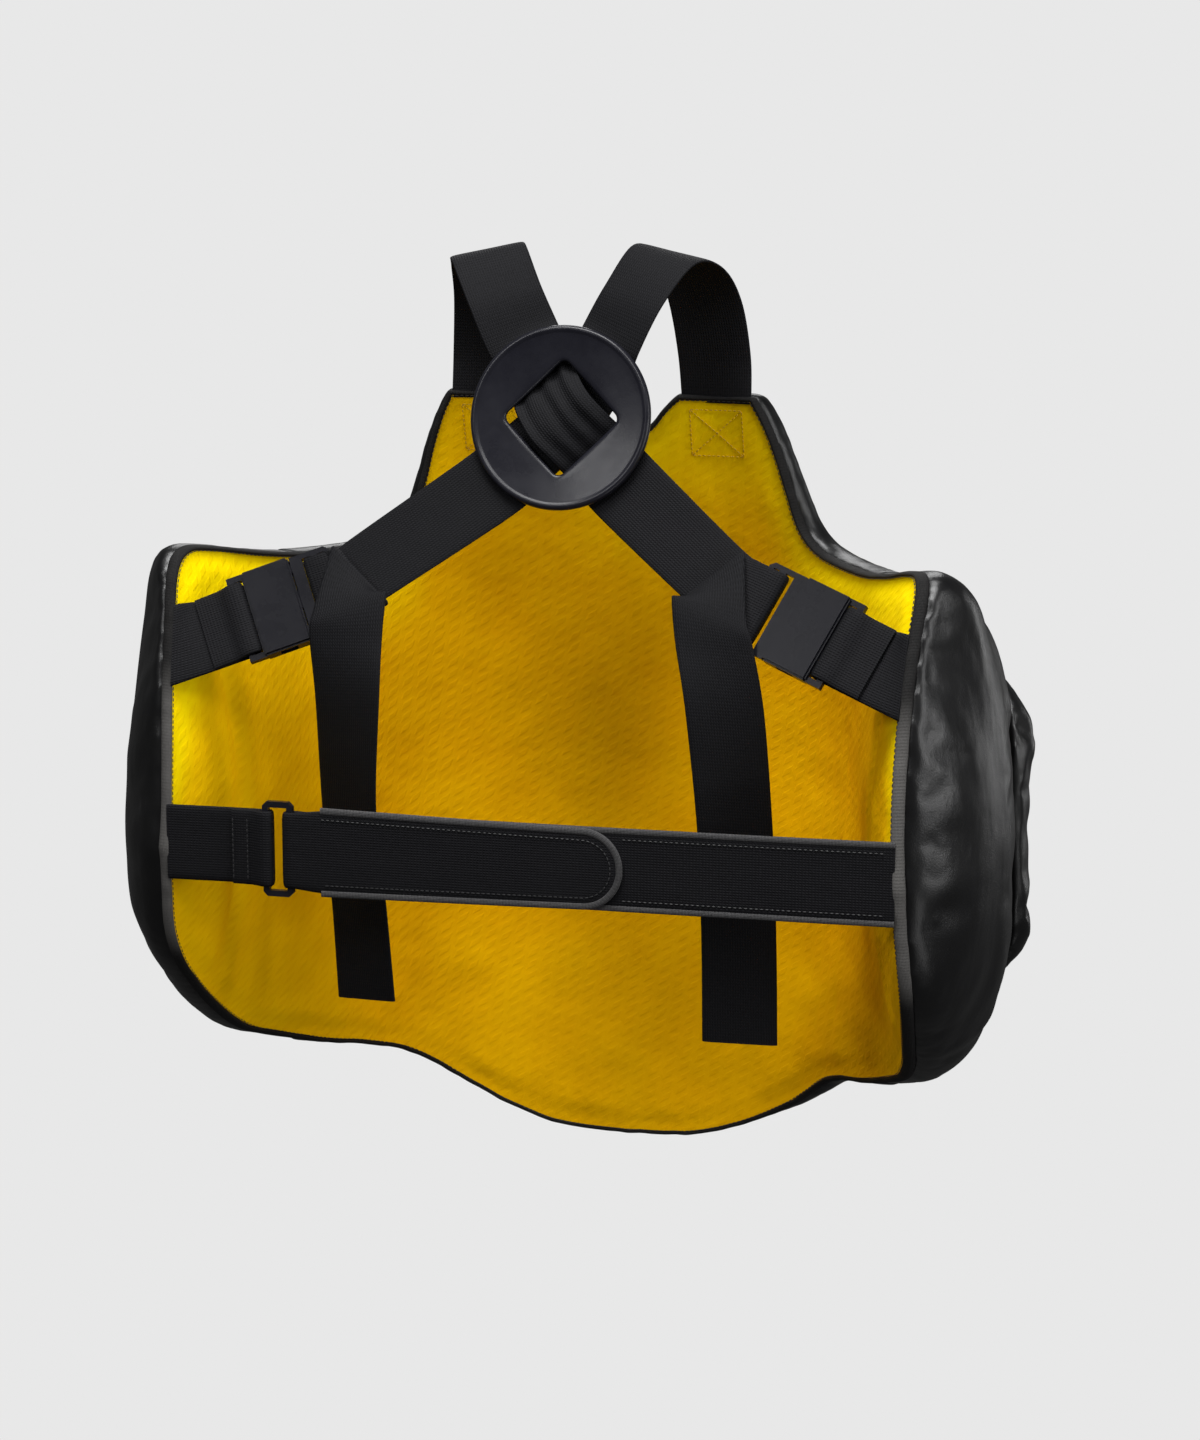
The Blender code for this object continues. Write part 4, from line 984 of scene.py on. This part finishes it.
def ribbon(name, stations, columns=16, pleat=None):
    """Webbing through stations of (centre, across), with rounded edges and any pleats."""
    centre, across = (rows_of(column) for column in zip(*stations))
    run = np.gradient(centre, axis=0)
    normal = np.cross(run, across)
    normal /= np.linalg.norm(normal, axis=1)[:, None]
    length = lengths_along(centre)
    side = np.sin(np.linspace(-math.pi / 2, math.pi / 2, columns + 1) * 0.86) / math.sin(math.pi / 2 * 0.86)
    half = WEBBING_T / 2 * np.sqrt(np.clip(1 - abs(side) ** 10, 0.0, 1)) + WEBBING_T * 0.06
    lift = np.zeros((len(centre), len(side))) if pleat is None else pleat(length, side)
    base = centre[:, None] + across[:, None] * side[:, None] / 2 + normal[:, None] * lift[..., None]
    top = base + normal[:, None] * half[:, None]
    bottom = base - normal[:, None] * half[:, None]
    ring = np.concatenate([top, bottom[:, ::-1]], 1)
    width = np.linalg.norm(across, axis=1)
    v = side * width[:, None] / 2
    flat = np.stack([np.repeat(length[:, None], v.shape[1], 1), v], -1)
    flat = np.concatenate([flat, flat[:, ::-1]], 1)
    stations_n, size = ring.shape[:2]
    index = np.arange(stations_n * size).reshape(stations_n, size)
    faces = tube_faces(index[:-1], index[1:]).tolist()
    half_size = size // 2
    for row in (index[0], index[-1]):
        faces += [(row[k], row[k + 1], row[size - 2 - k], row[size - 1 - k]) for k in range(half_size - 1)]
    return make(name, ring.reshape(-1, 3), faces, "webbing", flat.reshape(-1, 2))


def smooth_stations(stations, steps):
    numbers = [[*centre, *across] for centre, across in stations]
    return [(Vector(row[:3]), Vector(row[3:])) for row in smooth_line(numbers, steps)]


def tab_place(side):
    """Where the webbing leaves a shoulder tab, and the way across it."""
    root = body_point(side * TAB_MID_ARC, TAB_TOP_Z + PIECE_GAP, LINING_T / 2)
    edge = body_point(side * (TAB_MID_ARC + WEBBING_W / 2), TAB_TOP_Z + PIECE_GAP, LINING_T / 2)
    return root, (edge - root).normalized()


def ring_frame():
    """The ring's centre and its right, up and outward directions."""
    centre = Vector((RING_SIDE, -RING_BACK, -RING_DROP))
    up = Vector((0, math.sin(RING_TILT), math.cos(RING_TILT)))
    out = Vector((0, -math.cos(RING_TILT), math.sin(RING_TILT)))
    return centre, Vector((1, 0, 0)), up, out


def wing_anchor(side):
    """Where the side strap is sewn to the wing's edge, and the way down that edge."""
    z = TAB_TOP_Z - WING_ANCHOR_DROP
    rear = UPPER[UPPER[:, 1] <= TAB_TOP_Z - 0.1 * BODY_HEIGHT]
    rear = rear[rear[:, 0] > TURN_END]

    def on_edge(height):
        order = np.argsort(rear[:, 1])
        arc = float(np.interp(height, rear[order, 1], rear[order, 0])) - BINDING_W / 2
        return body_point(side * arc, height, -BINDING_PROUD - SEAM_GAP)

    return on_edge(z), (on_edge(z - 0.015) - on_edge(z + 0.015)).normalized()


def buckle_frame(side):
    """Frame of a buckle: x along the webbing to the wing, y across it and z away from the wearer."""
    centre, _, _, _ = ring_frame()
    anchor, _ = wing_anchor(side)
    middle = centre.lerp(anchor, BUCKLE_SHARE) - Vector((side * RING_SIDE, 0, HARNESS_SAG))
    along = (anchor - middle).normalized()
    facing = Vector((0, -math.cos(HARNESS_PITCH), math.sin(HARNESS_PITCH)))
    facing = (facing - along * facing.dot(along)).normalized()
    lower = facing.cross(along) * (1 if facing.cross(along).z < 0 else -1)
    return Matrix((
        (along.x, lower.x, facing.x, middle.x),
        (along.y, lower.y, facing.y, middle.y),
        (along.z, lower.z, facing.z, middle.z),
        (0, 0, 0, 1),
    ))


def in_frame(frame_of, stations):
    turn = frame_of.to_3x3()
    return [(frame_of @ Vector(s[:3]), turn @ Vector(s[3])) for s in stations]


def spread(stations, steps):
    """More stations along straight runs between the given ones."""
    found = []
    for (a, wide_a), (b, wide_b) in zip(stations, stations[1:]):
        count = max(1, int((b - a).length / steps))
        found += [(a.lerp(b, k / count), wide_a.lerp(wide_b, k / count)) for k in range(count)]
    return found + [stations[-1]]


def slot_wrap(side):
    """Where the webbing turns in the ladder's slot: pulled tight on the right, slack on the left."""
    if side > 0:
        return INNER_SLOT[0] + PIECE_GAP + WEBBING_T / 2
    return INNER_SLOT[1] - PIECE_GAP - WEBBING_T / 2


def build_harness(side):
    """A shoulder strap, from its tab through the ring to the other side's ladder."""
    root, tab_across = tab_place(side)
    tucked = root - Vector((0, 0, 0.004))
    stations = [(tucked, tab_across * WEBBING_W)]
    for aside, forward, down, across in STRAP_FRONT:
        place = Vector((aside * root.x, forward * root.y, down * root.z))
        stations.append((place, slanted(side, across)))
    for aside, back, down, across in STRAP_BACK:
        place = Vector((aside * root.x, -back * RING_BACK, -down * RING_DROP))
        stations.append((place, slanted(side, across)))
    centre, right, up, out = ring_frame()
    before = len(stations)
    for aside, high, upper, lower, width, (over, rise) in STRAP_THROUGH_RING:
        depth = lower if side > 0 else upper
        place = centre + right * side * aside * RING_RADIUS + up * high * RING_RADIUS + out * depth
        across = (right * side * over + up * rise).normalized()
        if side < 0:
            width += 0.06 * (1 - abs(aside))
        stations.append((place, across * WEBBING_W * width))
    after = len(stations)
    frame_of = buckle_frame(-side)
    below = -PRONG_T / 2 - PIECE_GAP - WEBBING_T / 2
    wrap = slot_wrap(-side)
    lower = (0, WEBBING_W, 0)
    stations += in_frame(frame_of, (
        (-TAIL_FOLD[-side], -0.0045, below, lower),
        (LADDER_END - 0.006, 0, below, lower),
    ))
    steps = 10
    stations = smooth_stations(stations, steps)
    length = lengths_along(rows_of(c for c, _ in stations))
    start, end = length[before * steps - 6], length[(after - 2) * steps]
    stations += in_frame(frame_of, (
        (OUTER_SLOT[0], 0, below, lower),
        (wrap - 0.0014, 0, below, lower),
        (wrap, 0, below + 0.0016, lower),
        (wrap, 0, -PIECE_GAP, lower),
    ))

    def pleats(along, across_share):
        window = smoothstep((along - start) / 0.025) * smoothstep((end - along) / 0.03)
        wave = np.cos(across_share[None] * math.pi * 3.7 + 0.6 + along[:, None] * 16)
        fine = drift(along[:, None] * 45 + across_share[None] * 0, across_share[None] * 5 + 3, 91)
        return window[:, None] * (0.0010 * wave + 0.0010 * fine) * (1 if side < 0 else 0.3)

    made = ribbon(named("shoulder_webbing", side), stations, columns=30, pleat=pleats)
    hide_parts(named("harness_strap", side))


def build_tail(side):
    """The strap's free end: out of the ladder, folded over and hanging."""
    frame_of = buckle_frame(side)
    above = PRONG_T / 2 + PIECE_GAP + WEBBING_T / 2
    wrap = slot_wrap(side)
    lower = (0, WEBBING_W, 0)
    slant = WEBBING_W * math.tan(TAIL_FOLD_ANGLE)
    fold = (-slant, WEBBING_W, 0)
    stations = in_frame(frame_of, (
        (wrap, 0, 0, lower),
        (wrap, 0, above - 0.0016, lower),
        (wrap - 0.0014, 0, above, lower),
        (LADDER_END, 0, above, lower),
        (-TAIL_FOLD[side] + 0.006, 0, above, fold),
        (-TAIL_FOLD[side], 0, above, fold),
    ))
    turn = []
    for angle in np.radians((30, 60, 90, 120, 150)):
        out = TAIL_FOLD_RADIUS * math.sin(angle)
        away = (-TAIL_FOLD[side] - out * math.cos(TAIL_FOLD_ANGLE), -out * math.sin(TAIL_FOLD_ANGLE))
        turn.append((*away, above + TAIL_FOLD_RADIUS * (1 - math.cos(angle)), fold))
    stations += in_frame(frame_of, turn)
    top = in_frame(frame_of, ((-TAIL_FOLD[side], 0, above + 2 * TAIL_FOLD_RADIUS, fold),))[0]
    drop = TAIL_DROP[side]
    hang = [top]
    for share, aside, forward, across in TAIL_HANG:
        aside += TAIL_ASIDE[side] * float(smoothstep(share / TAIL_SWING))
        place = top[0] + Vector((side * aside, forward, -share * drop))
        hang.append((place, slanted(side, across)))
    stations += smooth_stations(hang, 14)
    made = ribbon(named("tail_webbing", side), stations)
    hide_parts(named("strap_tail", side))


def build_side_strap(side):
    """Webbing looped through the buckle's socket and sewn to the wing."""
    frame_of = buckle_frame(side)
    anchor, down_edge = wing_anchor(side)
    lower = frame_of.to_3x3() @ Vector((0, 1, 0))
    end_across = down_edge * (WEBBING_W / down_edge.dot(lower))
    clear = LOOP_T / 2 + PIECE_GAP + WEBBING_T / 2
    wrap = LOOP_SLOT[0] + PIECE_GAP + WEBBING_T / 2
    across = (0, WEBBING_W, 0)
    stations = in_frame(frame_of, (
        (LOOP_END + STITCHED_END, 0, LAYER_STEP - clear, across),
        (LOOP_END + STITCHED_END / 3, 0, LAYER_STEP - clear + 0.0012, across),
        (LOOP_END, 0, clear, across),
        (wrap + 0.001, 0, clear, across),
        (wrap, 0, clear - 0.0012, across),
        (wrap, 0, -clear + 0.0012, across),
        (wrap + 0.001, 0, -clear, across),
        (LOOP_END + STITCHED_END, 0, -clear, across),
    ))
    stations.append((anchor, end_across))
    beyond = (anchor - stations[-2][0]).normalized() * 0.003
    stations.append((anchor + beyond, end_across))
    made = ribbon(named("side_webbing", side), spread(stations, 0.003))
    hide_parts(named("side_strap", side))


# Ring


def hole_radius(angle):
    """Distance from the ring's centre to the edge of its rounded square opening."""
    folded = (angle + math.pi / 4) % (math.pi / 2) - math.pi / 4
    side = RING_HOLE / math.sqrt(2) / np.cos(abs(folded) - math.pi / 4)
    reach = RING_HOLE - RING_HOLE_CORNER * math.sqrt(2)
    along = reach * np.cos(folded)
    across = reach * np.sin(folded)
    corner = along + np.sqrt(np.maximum(RING_HOLE_CORNER**2 - across**2, 0))
    near = abs(across) < RING_HOLE_CORNER * math.sin(math.pi / 4) * 1.02
    return np.where(near, np.minimum(corner, side * 1.2), side)


def build_ring():
    around = 240
    angle = np.arange(around) * 2 * math.pi / around
    inner = hole_radius(angle)
    low = RING_T / 2
    flat_reach = RING_RADIUS - 0.0055
    # Share of the way from the opening to the lip, and height over the dish as a share of half the plate
    plate = list(zip((0.0, 0.02, 0.06, 0.14, 0.3, 0.5, 0.7, 0.86, 1.0), (0.2, 0.62, 0.9, 1, 1, 1, 1, 1, 1)))
    lip = (
        (-0.0046, low + 0.0002), (-0.0036, low + 0.0009), (-0.0024, low + 0.0011), (-0.0012, low + 0.0006),
        (-0.0003, low - 0.0006), (0.0, 0.0), (-0.0004, -low * 0.55), (-0.0016, -low * 0.85), (-0.004, -low),
    )
    dish_start = RING_HOLE * 0.55

    def plate_rings(places, half):
        found = []
        for share, rise in places:
            radius = inner + 0.0001 + (flat_reach - inner) * share
            dish = RING_DISH * np.clip((radius - dish_start) / (flat_reach - dish_start), 0, 1) ** 1.3
            found.append((radius, dish + half * rise))
        return found

    rings = plate_rings(plate, low)
    for reach, height in lip:
        rings.append((np.full(around, RING_RADIUS + reach), np.full(around, RING_DISH + height)))
    rings += plate_rings(plate[::-1], -low)
    centre, right, up, out = (np.array(v) for v in ring_frame())
    points = []
    for radius, height in rings:
        local = np.outer(radius * np.cos(angle), right) + np.outer(radius * np.sin(angle), up)
        points.append(centre + local + np.outer(height, out))
    points = np.stack(points, 1)
    index = np.arange(around * len(rings)).reshape(around, len(rings))
    faces = tube_faces(index, np.roll(index, -1, 0))
    made = make("ring_plate", points.reshape(-1, 3), faces, "plastic", sharp=50)
    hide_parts("back_ring")


# Belt


def belt_end(side):
    return body_point(side * (HALF_GIRTH - BINDING_W / 2), BELT_Z, -BINDING_PROUD - SEAM_GAP)


def belt_y(x):
    end = belt_end(1)
    return end.y - BELT_BOW * (1 - (x / end.x) ** 2)


def edging(name, path, wide, thick):
    """A rounded strip of edging along a path on the belt's back."""
    path = rows_of(path)
    facing = np.array((0.0, -1.0, 0.0))
    sides = 10
    run = np.gradient(path, axis=0)
    run /= np.linalg.norm(run, axis=1)[:, None]
    across = np.cross(facing, run)
    across /= np.linalg.norm(across, axis=1)[:, None]
    length = lengths_along(path)
    angle = np.arange(sides) * 2 * math.pi / sides
    wave_c = np.sign(np.cos(angle)) * abs(np.cos(angle)) ** 0.7
    wave_s = np.sign(np.sin(angle)) * abs(np.sin(angle)) ** 0.7
    ring = path[:, None] + across[:, None] * (wave_c * wide / 2)[:, None]
    ring = ring + facing * (wave_s * thick / 2)[:, None]
    index = np.arange(len(path) * sides).reshape(len(path), sides)
    faces = tube_faces(index[:-1], index[1:]).tolist()
    faces += [tuple(index[0]), tuple(index[-1])]
    flat = np.stack(np.broadcast_arrays(length[:, None], wave_c * wide / 2), -1)
    make(name, ring.reshape(-1, 3), faces, "grey_edging", flat.reshape(-1, 2))


def build_belt():
    """The belt through its loop and back as a flap, and the short anchor on the left."""
    end = belt_end(1)
    loop_y = belt_y(LOOP_X)
    clear = LOOP_BAR / 2 + PIECE_GAP + WEBBING_T / 2
    loop_rear, loop_front = LOOP_X - LOOP_HALF, LOOP_X + LOOP_HALF

    def station(x, y, width):
        return (Vector((x, y, BELT_Z)), Vector((0, 0, width)))

    def turn(side):
        """Webbing that turns round one bar of the loop."""
        wrap = LOOP_X + side * (LOOP_GAP / 2 - PIECE_GAP - WEBBING_T / 2)
        bend = wrap + side * 0.0012
        places = ((bend, clear), (wrap, clear - 0.0012), (wrap, 0.0012 - clear), (bend, -clear))
        found = [station(x, loop_y + y, BELT_W) for x, y in places]
        return found + [station(LOOP_X + side * LOOP_HALF, loop_y - clear, BELT_W)]

    inner = [station(end.x + 0.003, end.y, BELT_W)]
    inner += [station(x, belt_y(x), BELT_W) for x in np.linspace(0.9 * end.x, FLAP_START, 60)]
    belt_turn = [station(loop_front, loop_y + clear, BELT_W), *turn(1)]
    flap = []
    for share in np.linspace(0, 1, 50):
        x = FLAP_START + (FLAP_ROUND - FLAP_START) * share
        flap.append(station(x, belt_y(x) - LAYER_STEP, FLAP_W + (FLAP_TIP_W - FLAP_W) * share))
    for angle in np.radians(np.linspace(4, 84, 18)):
        x = FLAP_ROUND + FLAP_TIP_W / 2 * math.sin(angle)
        flap.append(station(x, belt_y(x) - LAYER_STEP, FLAP_TIP_W * math.cos(angle)))
    made = ribbon("belt_webbing", inner + belt_turn + flap)
    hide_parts("belt_strap")

    for sign, place in ((1, "top"), (-1, "bottom")):
        path = [c + w * sign * 0.5 for c, w in inner]
        edging(f"belt_edging_{place}", path, 0.0042, 0.0032)
    rim = [c + w * 0.5 for c, w in flap] + [c - w * 0.5 for c, w in flap[::-1]]
    edging("flap_edging", rim, 0.0046, 0.0034)

    left = belt_end(-1)
    anchor = [
        station(left.x - 0.003, left.y, BELT_W),
        station(left.x, left.y, BELT_W),
        station(loop_rear - STITCHED_END, loop_y + clear, BELT_W),
        *turn(-1),
        station(loop_rear - STITCHED_END / 3, loop_y + clear - LAYER_STEP - 0.0012, BELT_W),
        station(loop_rear - STITCHED_END * 0.9, loop_y + clear - LAYER_STEP - 0.0004, BELT_W),
    ]
    made = ribbon("anchor_webbing", spread(anchor, 0.003))
    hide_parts("belt_anchor")


def stitch_row(points, faces, path, pitch=0.0034, radius=0.00040):
    """Stitches along a path of points, each with a gap before the next."""
    path = rows_of(path)
    run = lengths_along(path)
    count = int(run[-1] / pitch)

    def at(length):
        return np.array([np.interp(length, run, path[:, k]) for k in range(3)])

    for k in range(count):
        add_stitch(points, faces, at(pitch * (k + 0.14)), at(pitch * (k + 0.86)), radius, 5)


def build_belt_stitching():
    points, faces = [], []
    end = belt_end(1)
    over = WEBBING_T / 2 + 0.0004
    for sign in (1, -1):
        z = BELT_Z + sign * (BELT_W / 2 - 0.0052)
        path = [(x, belt_y(x) - over, z) for x in np.linspace(FLAP_TIP + 0.001, end.x - 0.003, 40)]
        stitch_row(points, faces, path)
    upper, lower = [], []
    for share in np.linspace(0, 1, 40):
        x = FLAP_START + (FLAP_ROUND - FLAP_START) * share
        half = (FLAP_W + (FLAP_TIP_W - FLAP_W) * share) / 2 - SEAM_INSET
        upper.append((x, belt_y(x) - LAYER_STEP - over, BELT_Z + half))
        lower.append((x, belt_y(x) - LAYER_STEP - over, BELT_Z - half))
    half = FLAP_TIP_W / 2 - SEAM_INSET
    for angle in np.radians(np.linspace(86, -86, 24)):
        x = FLAP_ROUND + half * math.cos(angle)
        upper.append((x, belt_y(x) - LAYER_STEP - over, BELT_Z + half * math.sin(angle)))
    stitch_row(points, faces, upper + lower[::-1])
    for x in (LOOP_X - LOOP_HALF - 0.010, LOOP_X - LOOP_HALF - 0.020):
        path = [(x, belt_y(x) - over - 0.0025, BELT_Z + z) for z in np.linspace(-0.021, 0.021, 8)]
        stitch_row(points, faces, path)
    make("belt_stitches", points, faces, "black_thread")


def build_edge_stitching():
    """Seam that sews the binding on, just inside its lip."""
    inward = loop_frame(OUTLINE)
    places = OUTLINE + inward * 0.0023
    path = body_points(places[:, 0], places[:, 1], -0.0017)
    points, faces = [], []
    stitch_row(points, faces, np.vstack([path, path[:1]]), 0.0036, 0.00034)
    make("edge_stitches", points, faces, "black_thread")


def build_tab_stitching():
    """Square of stitches with a cross, over the webbing sewn behind each tab."""
    for side in (1, -1):
        top, bottom = TAB_TOP_Z - 0.0085, TAB_TOP_Z - 0.0405
        near, far = TAB_MID_ARC * side - 0.0185, TAB_MID_ARC * side + 0.0185
        corners = ((near, top), (far, top), (far, bottom), (near, bottom))
        lines = [(corners[k], corners[(k + 1) % 4]) for k in range(4)]
        lines += [(corners[0], corners[2]), (corners[1], corners[3])]
        points, faces = [], []
        for start, end in lines:
            start, end = np.array(start), np.array(end)
            count = int(np.linalg.norm(end - start) / 0.0031)
            for k in range(count):
                ends = [start + (end - start) * (k + share) / count for share in (0.12, 0.88)]
                add_stitch(points, faces, *(body_points(*place, -0.0022) for place in ends), 0.00042)
        make(named("tab_stitches", side), points, faces, "yellow_thread")


def add_stitch(points, faces, start, end, radius, sides=6):
    run = end - start
    length = np.linalg.norm(run)
    run = run / length
    helper = np.array((0.0, 0.0, 1.0)) if abs(run[2]) < 0.9 else np.array((1.0, 0.0, 0.0))
    side = np.cross(run, helper)
    side /= np.linalg.norm(side)
    up = np.cross(side, run)
    first = len(points)
    shape = ((0.0, 0.25), (0.12, 0.8), (0.35, 1.0), (0.65, 1.0), (0.88, 0.8), (1.0, 0.25))
    for share, size in shape:
        for k in range(sides):
            angle = 2 * math.pi * k / sides
            round_it = side * math.cos(angle) + up * math.sin(angle)
            points.append(start + run * length * share + round_it * radius * size)
    for row in range(len(shape) - 1):
        a, b = first + row * sides, first + (row + 1) * sides
        faces.extend((a + k, a + (k + 1) % sides, b + (k + 1) % sides, b + k) for k in range(sides))
    faces.append(tuple(range(first, first + sides)))
    last = first + (len(shape) - 1) * sides
    faces.append(tuple(range(last, last + sides)))


def carry_over():
    """Hard nodes that stay get the moulded plastic."""
    buckles = [named(f"buckle_{half}", side) for half in ("prong", "socket") for side in (-1, 1)]
    for name in (*buckles, "belt_loop"):
        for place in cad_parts[name].material_slots:
            place.material = MATERIALS["plastic" if name == "belt_loop" else "buckle"]


# Stage

CAMERA_AZIMUTH = math.radians(14.5)
CAMERA_ELEVATION = math.radians(11.0)
CAMERA_DISTANCE = 2.2
CAMERA_TARGET = Vector((0.0134, 0.0, -0.316))
CAMERA_LENS = 81.5
CAMERA_SENSOR = 36.0
STUDIO_LEVEL = 0.807
WORLD_LIGHT = 0.07
FLOOR_Z = -0.72
LIGHT_TARGET = Vector((0, 0, -0.3))
# Name, place, width and height, and power of each softbox
SOFTBOXES = (
    ("overhead", (-0.1, -0.7, 1.9), (1.5, 1.0), 72),
    ("behind_left", (-1.25, -2.15, 1.35), (0.7, 0.8), 19),
    ("behind_right", (0.9, -2.0, 1.9), (0.9, 0.8), 25),
    ("right_low", (2.0, -1.3, 0.0), (0.4, 0.9), 9),
    ("right_side", (2.35, -0.55, 0.3), (0.3, 1.5), 13),
    ("right_rim", (1.7, 1.9, -0.3), (0.4, 0.9), 4),
    ("right_under", (1.2, -1.7, -1.5), (0.8, 0.5), 4),
    ("front_fill", (-0.6, 2.6, 1.5), (1.8, 1.2), 26),
)


def stage_material(name, level):
    material = bpy.data.materials.new(name)
    material.use_nodes = True
    tree = material.node_tree
    tree.nodes.clear()
    out = tree.nodes.new("ShaderNodeOutputMaterial")
    glow = tree.nodes.new("ShaderNodeEmission")
    glow.inputs[0].default_value = (level, level, level, 1)
    tree.links.new(glow.outputs[0], out.inputs[0])
    return material


def build_stage():
    pale = stage_material("pale_studio", STUDIO_LEVEL)
    for name, radius, height in (("floor", 30.0, FLOOR_Z), ("backdrop", 40.0, 0.0)):
        mesh = bpy.data.meshes.new(name)
        bm = bmesh.new()
        if name == "floor":
            bmesh.ops.create_circle(bm, cap_ends=True, segments=64, radius=radius)
        else:
            bmesh.ops.create_icosphere(bm, subdivisions=4, radius=radius)
        bm.to_mesh(mesh)
        bm.free()
        obj = bpy.data.objects.new(name, mesh)
        obj.location = (0, 0, height)
        link(obj)
        mesh.materials.append(pale)
        for kind in ("diffuse", "glossy", "transmission", "volume_scatter", "shadow"):
            setattr(obj, f"visible_{kind}", False)


def build_lights():
    world = bpy.data.worlds.new("studio")
    world.use_nodes = True
    world.node_tree.nodes["Background"].inputs[0].default_value = (1, 1, 1, 1)
    world.node_tree.nodes["Background"].inputs[1].default_value = WORLD_LIGHT
    bpy.context.scene.world = world
    for name, place, size, power in SOFTBOXES:
        light = bpy.data.lights.new(name, "AREA")
        light.shape = "RECTANGLE"
        light.size, light.size_y = size
        light.energy = power
        obj = bpy.data.objects.new(name, light)
        obj.location = place
        obj.rotation_euler = (Vector(place) - LIGHT_TARGET).to_track_quat("Z", "Y").to_euler()
        link(obj)


def build_camera():
    level = math.cos(CAMERA_ELEVATION)
    away = Vector((
        math.sin(CAMERA_AZIMUTH) * level, -math.cos(CAMERA_AZIMUTH) * level, math.sin(CAMERA_ELEVATION),
    ))
    camera = bpy.data.cameras.new("camera")
    camera.lens = CAMERA_LENS
    camera.sensor_width = CAMERA_SENSOR
    obj = bpy.data.objects.new("camera", camera)
    obj.location = CAMERA_TARGET + away * CAMERA_DISTANCE
    obj.rotation_euler = away.to_track_quat("Z", "Y").to_euler()
    link(obj)
    bpy.context.scene.camera = obj


build_camera()
build_stage()
build_lights()
bpy.context.scene.view_settings.view_transform = "Standard"
build_lining()
build_front_pad()
build_belly_pad()
build_binding()
build_ring()
build_belt()
for wearer_side in (1, -1):
    build_side_pad(wearer_side)
    build_harness(wearer_side)
    build_tail(wearer_side)
    build_side_strap(wearer_side)
build_tab_stitching()
build_belt_stitching()
build_edge_stitching()
carry_over()
